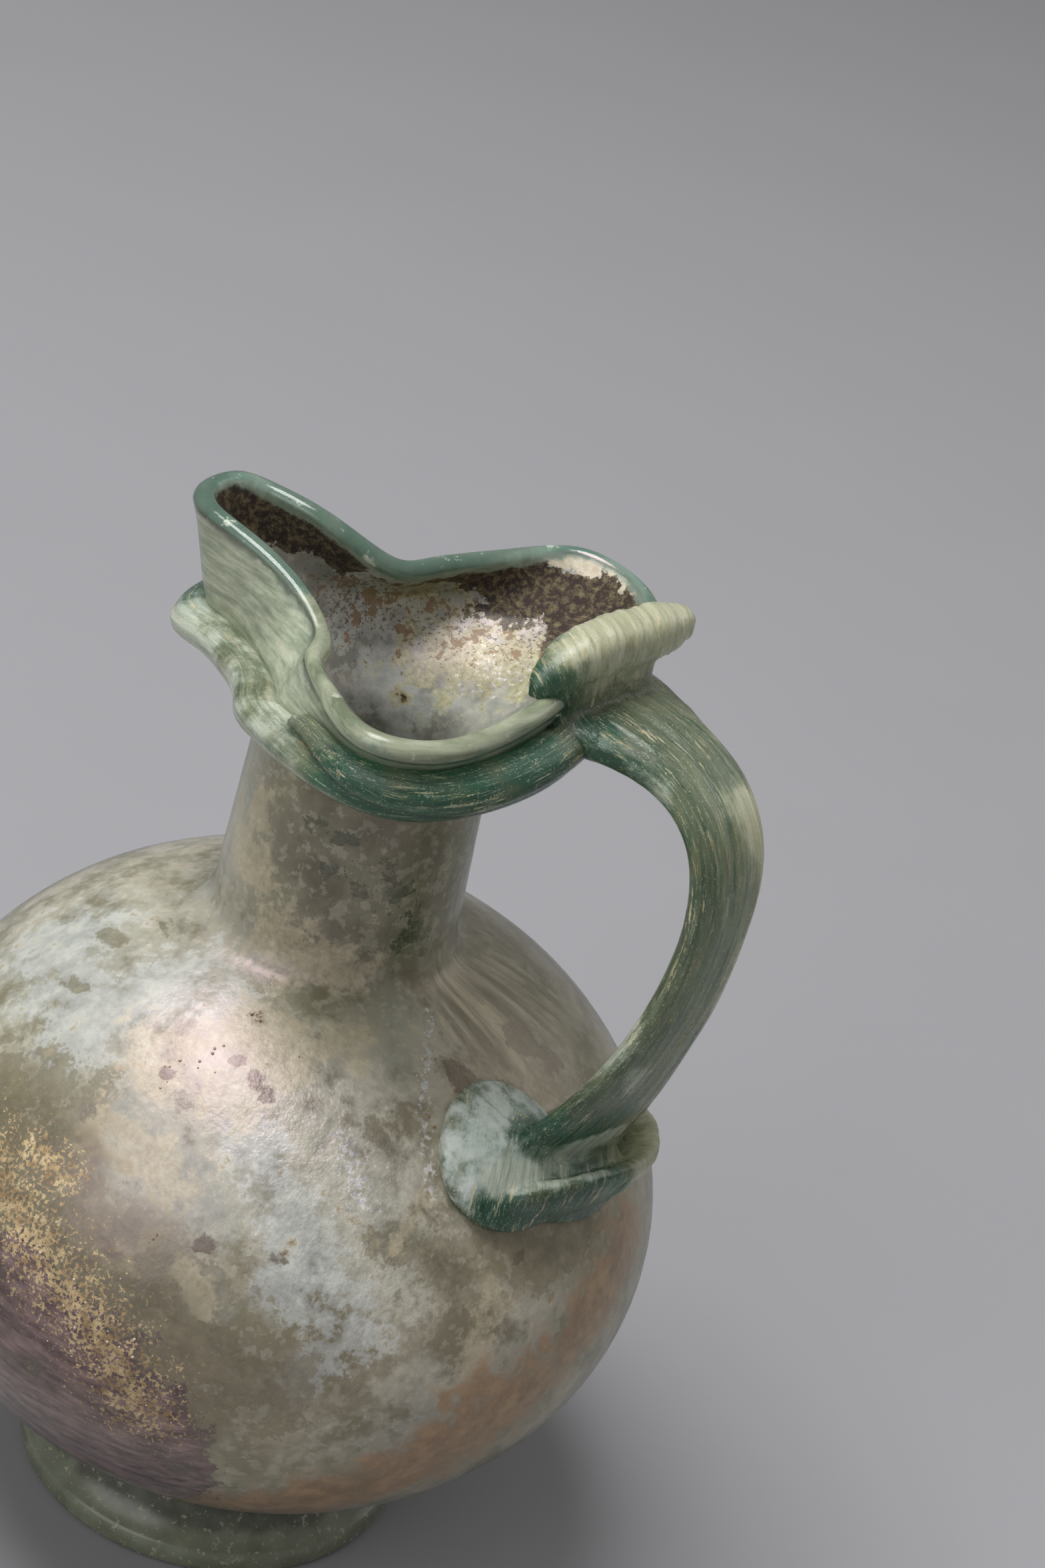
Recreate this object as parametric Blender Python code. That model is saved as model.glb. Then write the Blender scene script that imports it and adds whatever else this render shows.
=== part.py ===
"""Small free-blown glass jug with a trefoil mouth.

Four gathers of glass make it: the blown vessel (body, neck and pinched mouth in one bubble),
an applied foot, a thick thread wound round the mouth below the lip, and a strap handle with a
folded thumb rest at the rim and a pressed pad with a raised claw on the shoulder.
+Z is up, the handle is towards +X, the spout towards -X, and the origin is the centre of the
underside of the foot. All sizes are in metres, and angles are in degrees.
"""

import math

import bpy
import numpy as np

# Clearance between two gathers of glass that are fused on the real jug
GAP = 0.0003

# Blown body, a flattened ball
BODY_RADIUS = 0.0370
BODY_HALF_HEIGHT = 0.0296
BODY_LIFT = 0.0056
WALL = 0.0018

# Neck, which rises from the shoulder in a soft curve
NECK_RADIUS = 0.0110
NECK_TAPER = 0.0005
NECK_HEIGHT = 0.0172
SHOULDER_BLEND = 0.0045

# Outside of the mouth where the thread lies, measured from the axis, and how much higher
# the thread runs there than at the spout
FLARE_HEIGHT = 0.0088
FLARE_BACK = 0.0170
FLARE_LOBE = 0.0218
FLARE_PINCH = 0.0148
FLARE_SPOUT = 0.0185
FLARE_SPOUT_HALF_WIDTH = 0.0070
FLARE_RISE_LOBE = 0.0022
FLARE_RISE_PINCH = 0.0010
FLARE_WAIST = 0.47

# Outside of the lip, measured from the axis, and its rise above the thread at the spout
LIP_WALL = 0.0021
LIP_BACK = 0.0184
LIP_LOBE = 0.0250
LIP_PINCH = 0.0095
LIP_SPOUT = 0.0223
LIP_SPOUT_HALF_WIDTH = 0.0060
LIP_RISE_BACK = 0.0062
LIP_RISE_LOBE = 0.0054
LIP_RISE_PINCH = 0.0050
LIP_RISE_SPOUT = 0.0086
LIP_WAIST = 0.35

# The mouth was shaped by hand, so its two sides differ. The near side is the one towards -Y.
# Places lie along X, and the lean of the spout is towards +Y.
NEAR_LOBE_PLACE = 0.0092
NEAR_PINCH_PLACE = -0.0040
NEAR_HOOK = 0.11
NEAR_SPOUT_WIDENING = -0.0005
FAR_LOBE_PLACE = 0.0068
FAR_PINCH_PLACE = -0.0062
FAR_HOOK = 0.16
FAR_PINCH_WIDENING = 0.0008
FAR_SPOUT_WIDENING = 0.0009
SPOUT_LEAN = 0.0014
CORNER_INSET = 0.0028

# Applied foot
FOOT_RADIUS = 0.0192
FOOT_EDGE = 0.0024
FOOT_SEAT_RADIUS = 0.0158
FOOT_CORNER = 0.0009
FOOT_SEAT_STEP = 0.0005
FOOT_SIDE_SAG = 0.0007

# Thread wound round the mouth, and the tail of its overlap on the near lobe
THREAD_HEIGHT = 0.0037
THREAD_DEPTH = 0.0032
TAIL_HEIGHT = 0.0034
TAIL_RISE = 0.0016
TAIL_START = 24.0
TAIL_END = 100.0
TAIL_TAPER = 1.9

# Strap handle: how far its bow stays inside the body's width, the line along its middle, its
# section, and its turn about the vertical
HANDLE_INSET = 0.0014
HANDLE_SHOULDER = 0.0024
HANDLE_TOP_DROP = 0.0026
HANDLE_WIDEST_DROP = 0.0172
HANDLE_SQUARENESS = 0.75
HANDLE_ROOT_WIDTH = 0.0190
HANDLE_WIDTH = 0.0106
HANDLE_END_WIDTH = 0.0150
HANDLE_ROOT_THICKNESS = 0.0052
HANDLE_THICKNESS = 0.0035
HANDLE_ROOT_SIDE = 0.0022
HANDLE_ROOT_SHARE = 0.16
HANDLE_END_SHARE = 0.50
HANDLE_TURN = -12.0
HANDLE_END_TWIST = 20.0

# Thumb rest: a ridge folded up over the rim, its near end drooping, on a thinner stem
REST_LENGTH = 0.0205
REST_THICKNESS = 0.0050
REST_RISE = 0.0044
REST_OUT = 0.0008
REST_SIDE = -0.0010
REST_TURN = -17.0
REST_SLOPE = 2.0
REST_DROOP = 0.0022
REST_STEM_THICKNESS = 0.0034
REST_STEM_SHARE = 0.78

# Pad pressed on to the shoulder, placed by its angle round the axis and up the body's curve
PAD_AZIMUTH = -23.0
PAD_SLOPE = 41.8
PAD_RADIUS = 0.0068
PAD_THICKNESS = 0.0022
PAD_EDGE = 0.0006
PAD_SINK = 0.0008

# End of the strap on the shoulder, and the claw below it: a fin of glass drawn up from its foot to
# its crest. Both lines are places by angle and slope, and the crest has its lift off the body.
STRAP_AZIMUTH = -6.5
STRAP_SLOPE = 36.0
STRAP_PAD_HALF_WIDTH = 0.0082
STRAP_PAD_HALF_HEIGHT = 0.0050
CLAW_THICKNESS = 0.0024
CLAW_ROUNDING = 2
CLAW_CREST = ((-29.0, 35.6, 0.0012), (-25.0, 36.4, 0.0030), (-19.0, 35.6, 0.0039),
              (-12.0, 34.5, 0.0043), (-5.0, 33.0, 0.0045), (2.0, 31.0, 0.0048),
              (5.6, 32.8, 0.0053), (6.0, 36.4, 0.0052), (5.0, 40.0, 0.0046))
CLAW_FOOT = ((-31.0, 34.4), (-25.6, 32.4), (-19.0, 30.4), (-12.0, 29.2), (-5.0, 28.6),
             (1.8, 28.0), (6.0, 30.2), (6.4, 34.6), (5.4, 38.8))

# Base colour and roughness of each glass
VESSEL_GLASS = ((0.56, 0.60, 0.55, 1.0), 0.30)
FOOT_GLASS = ((0.34, 0.44, 0.38, 1.0), 0.20)
THREAD_GLASS = ((0.25, 0.44, 0.36, 1.0), 0.16)
HANDLE_GLASS = ((0.22, 0.42, 0.34, 1.0), 0.18)

# Facets: columns round the axis, and sides round a rod, a strap and a pad
COLUMNS = 48
ROD_SIDES = 10
STRAP_SIDES = 16
PAD_SIDES = 18
SHARP_EDGE = 40.0

BODY_CENTRE = BODY_LIFT + BODY_HALF_HEIGHT
NECK_ROOT_RADIUS = NECK_RADIUS + NECK_TAPER
ROWS_BELOW = np.radians([-84.0, -76.0, -68.0, -60.0, -50.0, -40.0, -30.0, -20.0, -10.0, 0.0])
ROWS_ABOVE = 6
LIP_ARC = np.radians([45.0, 90.0, 135.0])
UP = np.array([0.0, 0.0, 1.0])


def on_curve(radius_angle, lift=0.0):
    """Distance from the axis and height on the body's curve, lifted off its surface."""
    place = np.array([BODY_RADIUS * math.cos(radius_angle),
                      BODY_CENTRE + BODY_HALF_HEIGHT * math.sin(radius_angle)])
    away = np.array([math.cos(radius_angle) / BODY_RADIUS, math.sin(radius_angle) / BODY_HALF_HEIGHT])
    return place + lift * away / np.linalg.norm(away)


def on_body(azimuth, slope, lift=0.0):
    """Point on the body at an angle round the axis and up its curve, lifted off the surface."""
    reach, height = on_curve(slope, lift)
    return np.array([reach * math.cos(azimuth), reach * math.sin(azimuth), height])


NECK_ROOT = on_curve(math.acos(NECK_ROOT_RADIUS / BODY_RADIUS))[1]
NECK_TOP = NECK_ROOT + NECK_HEIGHT
THREAD_LEVEL = NECK_TOP + FLARE_HEIGHT
RIM_BACK = THREAD_LEVEL + LIP_RISE_BACK
HANDLE_REACH = BODY_RADIUS - HANDLE_INSET


def hermite(start, end, leave, arrive, t):
    """Point at t on the cubic that leaves and arrives with the given tangents."""
    return (start * (2 * t**3 - 3 * t**2 + 1) + leave * (t**3 - 2 * t**2 + t)
            + end * (3 * t**2 - 2 * t**3) + arrive * (t**3 - t**2))


def closed_spline(points, samples):
    """Points at equal steps along the smooth closed curve through a few points."""
    points = np.asarray(points, float)
    count = len(points)
    matrix = 4.0 * np.eye(count) + np.roll(np.eye(count), 1, 0) + np.roll(np.eye(count), -1, 0)
    slopes = np.linalg.solve(matrix, 3.0 * (np.roll(points, -1, 0) - np.roll(points, 1, 0)))
    t = np.linspace(0.0, 1.0, 40, endpoint=False)[None, :, None]
    curve = hermite(points[:, None], np.roll(points, -1, 0)[:, None],
                    slopes[:, None], np.roll(slopes, -1, 0)[:, None], t)
    curve = curve.reshape(-1, points.shape[1])
    curve = np.vstack([curve, curve[:1]])
    run = np.concatenate([[0.0], np.cumsum(np.linalg.norm(np.diff(curve[:, :2], axis=0), axis=1))])
    steps = np.linspace(0.0, run[-1], samples, endpoint=False)
    return np.stack([np.interp(steps, run, curve[:, k]) for k in range(points.shape[1])], axis=1)


def half_outline(reaches, rises, waist, side):
    """Half of the mouth's plan, from the handle past a lobe and a pinch to the spout.

    The shares that set the points between the lobe, the pinch and the spout are those of the
    lobe's and the spout's own sizes.
    """
    back, lobe, pinch, spout, spout_half = reaches
    back_rise, lobe_rise, pinch_rise, spout_rise = rises
    lobe_place, pinch_place, hook, pinch_widening, spout_widening = side
    pinch = pinch + pinch_widening
    spout_half = spout_half + spout_widening
    span = lobe_place - pinch_place
    channel = spout + pinch_place
    climb = spout_rise - pinch_rise
    half = [
        (back, 0.0, back_rise),
        (back, 0.40 * lobe, back_rise),
        (back - CORNER_INSET, 0.83 * lobe, lobe_rise),
        (lobe_place, lobe, lobe_rise),
        (pinch_place + 0.50 * span, pinch + 0.69 * (lobe - pinch), 0.5 * (lobe_rise + pinch_rise)),
        (pinch_place + hook * span, pinch + 0.28 * (lobe - pinch), pinch_rise),
        (pinch_place, pinch, pinch_rise + 0.1 * climb),
        (pinch_place - 0.28 * channel, spout_half + waist * (pinch - spout_half), pinch_rise + 0.6 * climb),
        (-0.72 * spout, spout_half, pinch_rise + 0.9 * climb),
        (-0.93 * spout, 0.72 * spout_half, spout_rise),
        (-spout, 0.0, spout_rise),
    ]
    lean = [SPOUT_LEAN * max(0.0, (pinch_place - x) / channel) for x, y, rise in half]
    return half, lean


def mouth_outline(reaches, rises, waist):
    """Closed plan of the mouth, with its height at each column."""
    far_side = (FAR_LOBE_PLACE, FAR_PINCH_PLACE, FAR_HOOK, FAR_PINCH_WIDENING, FAR_SPOUT_WIDENING)
    near_side = (NEAR_LOBE_PLACE, NEAR_PINCH_PLACE, NEAR_HOOK, 0.0, NEAR_SPOUT_WIDENING)
    far, far_lean = half_outline(reaches, rises, waist, far_side)
    near, near_lean = half_outline(reaches, rises, waist, near_side)
    corners = [(x, y + lean, rise) for (x, y, rise), lean in zip(far, far_lean)]
    back_again = [(x, -y + lean, rise) for (x, y, rise), lean in zip(near, near_lean)]
    outline = closed_spline(corners + back_again[-2:0:-1], COLUMNS)
    outline[:, 2] += THREAD_LEVEL
    return outline


def circle(radius, height):
    """Ring of points round the axis, one for each column."""
    angle = np.linspace(0.0, 2.0 * math.pi, COLUMNS, endpoint=False)
    return np.stack([radius * np.cos(angle), radius * np.sin(angle), np.full(COLUMNS, height)], axis=1)


def body_and_neck():
    """Rings from the bottom of the body to the top of the neck, and how many are the body's."""
    shoulder = math.acos((NECK_ROOT_RADIUS + SHOULDER_BLEND) / BODY_RADIUS)
    rows = list(ROWS_BELOW) + list(np.linspace(0.0, shoulder, ROWS_ABOVE + 1)[1:])
    rings = [circle(*on_curve(angle)) for angle in rows]
    # Soft curve from the shoulder into the neck, between their two tangents
    low = on_curve(shoulder)
    along = np.array([-BODY_RADIUS * math.sin(shoulder), BODY_HALF_HEIGHT * math.cos(shoulder)])
    along = along / np.linalg.norm(along)
    high = np.array([NECK_ROOT_RADIUS, NECK_ROOT + SHOULDER_BLEND])
    pull = 1.86 * np.linalg.norm(high - low)
    for t in (0.25, 0.5, 0.75, 1.0):
        rings.append(circle(*hermite(low, high, pull * along, np.array([0.0, pull]), t)))
    for t in (0.5, 1.0):
        rings.append(circle(NECK_ROOT_RADIUS - t * NECK_TAPER, high[1] + t * (NECK_TOP - high[1])))
    return rings, len(rows)


def vessel_rings():
    """Outside of the vessel as rings, the row of the thread, and the number of body rows."""
    rings, body_rows = body_and_neck()
    level = mouth_outline((FLARE_BACK, FLARE_LOBE, FLARE_PINCH, FLARE_SPOUT, FLARE_SPOUT_HALF_WIDTH),
                          (FLARE_RISE_LOBE, FLARE_RISE_LOBE, FLARE_RISE_PINCH, 0.0), FLARE_WAIST)
    lip = mouth_outline((LIP_BACK, LIP_LOBE, LIP_PINCH, LIP_SPOUT, LIP_SPOUT_HALF_WIDTH),
                        (LIP_RISE_BACK, LIP_RISE_LOBE, LIP_RISE_PINCH, LIP_RISE_SPOUT), LIP_WAIST)
    # Each column of the mouth is two cubics: from the neck to the thread, and on to the lip
    start = rings[-1]
    first = np.linalg.norm(level - start, axis=1, keepdims=True)
    second = np.linalg.norm(lip - level, axis=1, keepdims=True)
    turn = (level - start) / first + (lip - level) / second
    turn = turn / np.linalg.norm(turn, axis=1, keepdims=True)
    for t in (0.25, 0.5, 0.75, 1.0):
        rings.append(hermite(start, level, UP * first, turn * first, t))
    thread_row = len(rings) - 1
    for t in (0.33, 0.67, 1.0):
        rings.append(hermite(level, lip, turn * second, lip - level, t))
    return np.array(rings), thread_row, body_rows


def ring_frames(rings):
    """Outward normal and upward tangent at each point of a stack of rings."""
    upward = np.gradient(rings, axis=0)
    around = np.roll(rings, -1, axis=1) - np.roll(rings, 1, axis=1)
    normal = np.cross(around, upward)
    normal = normal / np.linalg.norm(normal, axis=2, keepdims=True)
    upward = upward / np.linalg.norm(upward, axis=2, keepdims=True)
    return normal, upward


def lip_crest(rings, lift):
    """Rings of the rounded lip, from its outside over its top."""
    normal, upward = ring_frames(rings)
    centre = rings[-1] - normal[-1] * LIP_WALL / 2
    radius = LIP_WALL / 2 + lift
    return [centre + radius * (math.cos(a) * normal[-1] + math.sin(a) * upward[-1]) for a in LIP_ARC]


def new_object(name, points, faces, material=None):
    """Object from points and faces, with its faces turned outwards."""
    points = np.asarray(points, float)
    volume = 0.0
    for face in faces:
        for k in range(1, len(face) - 1):
            volume += np.dot(points[face[0]], np.cross(points[face[k]], points[face[k + 1]]))
    if volume < 0.0:
        faces = [tuple(reversed(face)) for face in faces]
    mesh = bpy.data.meshes.new(name)
    mesh.from_pydata([tuple(p) for p in points], [], faces)
    mesh.update()
    mesh.shade_smooth()
    mesh.set_sharp_from_angle(angle=math.radians(SHARP_EDGE))
    if material:
        mesh.materials.append(material)
    obj = bpy.data.objects.new(name, mesh)
    bpy.context.scene.collection.objects.link(obj)
    return obj


def stack(name, rings, material=None, loop=False):
    """Solid skinned over rings of equal count: capped at both ends, or joined end to end."""
    count = len(rings[0])
    points = np.concatenate([np.asarray(ring) for ring in rings])
    faces = []
    for i in range(len(rings) if loop else len(rings) - 1):
        a = i * count
        b = ((i + 1) % len(rings)) * count
        for j in range(count):
            k = (j + 1) % count
            faces.append((a + j, a + k, b + k, b + j))
    if not loop:
        for ring, flip in ((0, True), (len(rings) - 1, False)):
            centre = len(points)
            points = np.vstack([points, np.mean(rings[ring], axis=0)])
            for j in range(count):
                edge = (ring * count + j, ring * count + (j + 1) % count)
                faces.append((edge[1], edge[0], centre) if flip else (edge[0], edge[1], centre))
    return new_object(name, points, faces, material)


def glass(name, look):
    """Plain glass colour as a Principled material."""
    material = bpy.data.materials.new(name)
    material.use_nodes = True
    shader = material.node_tree.nodes["Principled BSDF"]
    shader.inputs["Base Color"].default_value = look[0]
    shader.inputs["Roughness"].default_value = look[1]
    shader.inputs["Metallic"].default_value = 0.0
    return material


def guide(obj):
    """Marks an object as a form or cutter that isn't a piece of the jug."""
    obj.hide_render = True
    obj.display_type = "WIRE"
    return obj


def combine(obj, other, operation, crossing=False):
    """Adds a live Boolean to an object; crossing is for one whose joined forms cross one another."""
    modifier = obj.modifiers.new(f"{operation.lower()} {other.name}", "BOOLEAN")
    modifier.object = other
    modifier.operation = operation
    modifier.solver = "EXACT"
    modifier.use_self = crossing


def make_vessel():
    """Hollow blown vessel: outside, rounded lip, then inside down to the bottom.

    The inside has half as many rows as the outside on the body, where nothing fits into it.
    """
    rings, thread_row, body_rows = vessel_rings()
    normal, _ = ring_frames(rings)
    walls = np.full(len(rings), WALL)
    walls[thread_row:] = np.linspace(WALL, LIP_WALL, len(rings) - thread_row)
    inner = rings - normal * walls[:, None, None]
    kept = list(range(0, body_rows, 2)) + list(range(body_rows, len(rings)))
    skin = list(rings) + lip_crest(rings, 0.0) + [inner[row] for row in reversed(kept)]
    return stack("vessel", skin, glass("Free-blown weathered glass", VESSEL_GLASS))


def filled_vessel(name, lift):
    """Vessel as one filled lump, swollen by a clearance, for cutting what is fused to it."""
    rings, _, _ = vessel_rings()
    normal, _ = ring_frames(rings)
    return guide(stack(name, list(rings + normal * lift) + lip_crest(rings, lift)))


def make_foot():
    """Applied foot: a dish under the body, a splayed side and a flat underside."""
    seat = -math.acos(FOOT_SEAT_RADIUS / BODY_RADIUS)
    angles = [angle for angle in ROWS_BELOW if angle < seat] + [seat]
    dish = [on_curve(angle, GAP) for angle in angles]
    side_top = dish[-1] + np.array([FOOT_SEAT_STEP, 0.0])
    side_foot = np.array([FOOT_RADIUS, FOOT_EDGE])
    profile = list(dish)
    for t in (0.0, 0.35, 0.7, 1.0):
        sag = FOOT_SIDE_SAG * math.sin(math.pi * t)
        profile.append(side_top + t * (side_foot - side_top) - sag)
    corner = np.array([FOOT_RADIUS - FOOT_CORNER, FOOT_CORNER])
    for angle in np.radians([0.0, -45.0, -90.0]):
        profile.append(corner + FOOT_CORNER * np.array([math.cos(angle), math.sin(angle)]))
    profile.append(np.array([0.5 * FOOT_RADIUS, 0.0]))
    rings = [circle(*point) for point in profile]
    return stack("foot", rings, glass("Applied foot glass", FOOT_GLASS))


def thread_rings(swell, columns=range(COLUMNS), height=THREAD_HEIGHT, rise=0.0, sizes=None, sunk=0.0):
    """Sections of the thread at the columns of the mouth, pressed against the wall or sunk in it."""
    rings, thread_row, _ = vessel_rings()
    normal, upward = ring_frames(rings)
    sections = []
    for n, column in enumerate(columns):
        size = sizes[n] if sizes is not None else 1.0
        deep = THREAD_DEPTH / 2 * size
        tall = height / 2 * size
        out = normal[thread_row, column]
        up = upward[thread_row, column]
        centre = rings[thread_row, column] + out * (GAP + deep - sunk / 2) + up * rise
        thick = deep + sunk / 2 + swell
        sections.append([centre + thick * math.cos(a) * out + (tall + swell) * math.sin(a) * up
                         for a in np.linspace(0.0, 2.0 * math.pi, ROD_SIDES, endpoint=False)])
    return sections


def make_thread():
    """Thread wound once round the mouth, its tail lying over its start on one lobe."""
    thread = stack("rim_thread", thread_rings(0.0), glass("Applied thread glass", THREAD_GLASS), loop=True)
    first = COLUMNS - round(TAIL_START / 360.0 * COLUMNS)
    last = COLUMNS - round(TAIL_END / 360.0 * COLUMNS)
    columns = range(first, last - 1, -1)
    sizes = np.clip(TAIL_TAPER * np.linspace(1.0, 0.0, len(columns)), 0.12, 1.0) ** 0.5
    tail = stack("thread_tail_form", thread_rings(0.0, columns, TAIL_HEIGHT, TAIL_RISE, sizes))
    combine(thread, guide(tail), "UNION")
    return thread


def handle_line():
    """Points down the middle of the strap, as reach from the axis and height."""
    top = RIM_BACK - HANDLE_TOP_DROP
    widest = RIM_BACK - HANDLE_WIDEST_DROP
    bend = LIP_BACK + HANDLE_SHOULDER
    line = [(FLARE_BACK - WALL / 2, top), (LIP_BACK, top)]
    for turn in np.radians(np.linspace(90.0, 0.0, 10)):
        line.append((bend + (HANDLE_REACH - bend) * math.cos(turn) ** HANDLE_SQUARENESS,
                     widest + (top - widest) * math.sin(turn) ** HANDLE_SQUARENESS))
    end = strap_end()
    for t in np.linspace(0.0, 1.0, 10)[1:]:
        line.append((HANDLE_REACH - (HANDLE_REACH - end[0]) * t**2, widest + t * (end[2] - widest)))
    return np.array(line)


def strap_end():
    """Point on the shoulder where the middle of the strap ends."""
    return on_body(math.radians(STRAP_AZIMUTH), math.radians(STRAP_SLOPE), GAP + PAD_THICKNESS / 2)


def superellipse(middle, wide, thick, sides):
    """Rounded-corner section around a point, from its half width and half thickness vectors."""
    section = []
    for a in np.linspace(0.0, 2.0 * math.pi, sides, endpoint=False):
        section.append(middle + math.copysign(abs(math.cos(a)) ** 0.8, math.cos(a)) * wide
                       + math.copysign(abs(math.sin(a)) ** 0.8, math.sin(a)) * thick)
    return section


def strap_sections():
    """Sections of the strap: broad at the rim, narrow along its bow, and spread on the shoulder.

    The edge towards +Y runs straight on to the shoulder. The other edge spreads from it and
    twists inwards, up the body's curve.
    """
    line = handle_line()
    run = np.concatenate([[0.0], np.cumsum(np.linalg.norm(np.diff(line, axis=0), axis=1))])
    slope = np.gradient(line, axis=0)
    slope = slope / np.linalg.norm(slope, axis=1, keepdims=True)
    end_side = strap_end()[1]
    sections = []
    for (reach, height), along, s in zip(line, slope, run / run[-1]):
        turn = math.radians(HANDLE_TURN + (STRAP_AZIMUTH - HANDLE_TURN) * s)
        ahead = np.array([math.cos(turn), math.sin(turn), 0.0])
        side = np.array([-math.sin(turn), math.cos(turn), 0.0])
        across = along[0] * UP - along[1] * ahead
        root = math.exp(-((s / HANDLE_ROOT_SHARE) ** 2))
        spread = max(0.0, 1.0 - (1.0 - s) / HANDLE_END_SHARE) ** 1.5
        half_width = (HANDLE_WIDTH + (HANDLE_ROOT_WIDTH - HANDLE_WIDTH) * root) / 2
        half_thick = (HANDLE_THICKNESS + (HANDLE_ROOT_THICKNESS - HANDLE_THICKNESS) * root) / 2
        wider = half_width + (HANDLE_END_WIDTH - HANDLE_WIDTH) / 2 * spread
        twist = math.radians(HANDLE_END_TWIST) * spread
        wide = wider * (math.cos(twist) * side + math.sin(twist) * across)
        thick = half_thick * (math.cos(twist) * across - math.sin(twist) * side)
        middle = np.array([reach, end_side + (HANDLE_ROOT_SIDE - end_side) * (1.0 - s) ** 1.5, height])
        sections.append(superellipse(middle + half_width * side - wide, wide, thick, STRAP_SIDES))
    return sections


def make_handle(vessel_clearance, thread_clearance):
    """Strap with its thumb rest, pad and claw, cut clear of the wall and the thread."""
    handle = stack("handle", strap_sections(), glass("Drawn strap glass", HANDLE_GLASS))
    strap_pad = pad_form("strap_pad_form", STRAP_AZIMUTH, STRAP_SLOPE, STRAP_PAD_HALF_WIDTH,
                         STRAP_PAD_HALF_HEIGHT, 1.5 * PAD_SINK)
    side_pad = pad_form("side_pad_form", PAD_AZIMUTH, PAD_SLOPE, PAD_RADIUS, PAD_RADIUS, PAD_SINK)
    for form in (*thumb_rest_forms(), side_pad, strap_pad, claw_form()):
        combine(handle, guide(form), "UNION")
    combine(handle, vessel_clearance, "DIFFERENCE", crossing=True)
    combine(handle, thread_clearance, "DIFFERENCE")
    return handle


def thumb_rest_forms():
    """Folded ridge across the top of the rim, and the thinner stem that roots it in the strap."""
    turn = math.radians(REST_TURN)
    slope = math.radians(REST_SLOPE)
    ahead = np.array([math.cos(turn), math.sin(turn), 0.0])
    along = np.array([-math.sin(turn) * math.cos(slope), math.cos(turn) * math.cos(slope), math.sin(slope)])
    up = np.cross(ahead, along)
    middle = np.array([LIP_BACK + REST_OUT, HANDLE_ROOT_SIDE + REST_SIDE, RIM_BACK + REST_RISE])
    ridge, stem = [], []
    for t in np.linspace(-1.0, 1.0, 11):
        size = REST_THICKNESS / 2 * math.sqrt(max(1.0 - abs(t) ** 3.5, 0.05))
        centre = middle + along * REST_LENGTH / 2 * t - up * REST_DROOP * max(-t, 0.0) ** 3
        ridge.append(superellipse(centre, size * ahead, size * up, ROD_SIDES))
        share = t * REST_STEM_SHARE - (1.0 - REST_STEM_SHARE)
        top = middle + along * REST_LENGTH / 2 * share - up * REST_DROOP * max(-share, 0.0) ** 3
        tall = (top[2] - (RIM_BACK - HANDLE_TOP_DROP)) / 2
        thick = REST_STEM_THICKNESS / 2 * math.sqrt(max(1.0 - abs(t) ** 6, 0.1))
        stem.append(superellipse(top - tall * up, thick * ahead, tall * up, ROD_SIDES))
    return stack("thumb_rest_form", ridge), stack("thumb_rest_stem_form", stem)


def on_pad(azimuth, slope, across, up, lift):
    """Point over the body, by distances across and up from a place on it."""
    slope = math.radians(slope)
    climb = math.hypot(BODY_RADIUS * math.sin(slope), BODY_HALF_HEIGHT * math.cos(slope))
    return on_body(math.radians(azimuth) + across / (BODY_RADIUS * math.cos(slope)), slope + up / climb, lift)


def pad_form(name, azimuth, slope, half_width, half_height, sink):
    """Lens of glass that follows the shoulder, thin at its edge, with its underside sunk in it."""
    rings = []
    angles = np.linspace(0.0, 2.0 * math.pi, PAD_SIDES, endpoint=False)
    for part, domed in ((0.3, 0), (0.7, 0), (1.0, 0), (1.0, 1), (0.85, 1), (0.6, 1), (0.3, 1)):
        lift = GAP + PAD_EDGE + (PAD_THICKNESS - PAD_EDGE) * (1.0 - part**2.5) if domed else -sink
        rings.append([on_pad(azimuth, slope, part * half_width * math.cos(a),
                             part * half_height * math.sin(a), lift) for a in angles])
    return stack(name, rings)


def along_path(path, shares):
    """Points at some shares of the way along a path of places, with its corners rounded off."""
    path = np.asarray(path)
    spots = shares * (len(path) - 1)
    points = np.stack([np.interp(spots, range(len(path)), path[:, k]) for k in range(path.shape[1])], axis=1)
    for _ in range(CLAW_ROUNDING):
        points[1:-1] = 0.5 * points[1:-1] + 0.25 * (points[:-2] + points[2:])
    return points


def claw_form():
    """Fin drawn up below the strap's end: it leans uphill, and its free end curls round the strap."""
    shares = np.linspace(0.0, 1.0, 15)
    crest_path = along_path(CLAW_CREST, shares)
    foot_path = along_path(CLAW_FOOT, shares)
    crest = np.array([on_body(*np.radians(spot[:2]), GAP + spot[2]) for spot in crest_path])
    foot = np.array([on_body(*np.radians(spot), -PAD_SINK) for spot in foot_path])
    middles = (crest + foot) / 2
    ahead = np.gradient(middles, axis=0)
    sections = []
    for middle, forward, tall, t in zip(middles, ahead, (crest - foot) / 2, shares):
        side = np.cross(forward, tall)
        side = side / np.linalg.norm(side)
        thick = CLAW_THICKNESS / 2 * math.sqrt(max(1.0 - (2 * t - 1) ** 6, 0.12))
        sections.append(superellipse(middle, thick * side, tall, ROD_SIDES))
    return stack("claw_form", sections)


def main():
    """Empties the scene and makes the four gathers of the jug."""
    for obj in list(bpy.data.objects):
        bpy.data.objects.remove(obj, do_unlink=True)
    make_vessel()
    make_foot()
    make_thread()
    vessel_clearance = filled_vessel("vessel_clearance", GAP)
    thread_clearance = guide(stack("thread_clearance", thread_rings(GAP, sunk=WALL), loop=True))
    make_handle(vessel_clearance, thread_clearance)


main()
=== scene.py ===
"""Small late Roman glass jug: free-blown, weathered and iridescent, with a drawn strap handle.

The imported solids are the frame. The vessel, foot, rim thread and handle are made again here from
the same sizes with finer relief, and each gets the finish of its own glass.
"""

import math

import bmesh
import bpy
import numpy as np
from mathutils import Matrix, Vector


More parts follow.
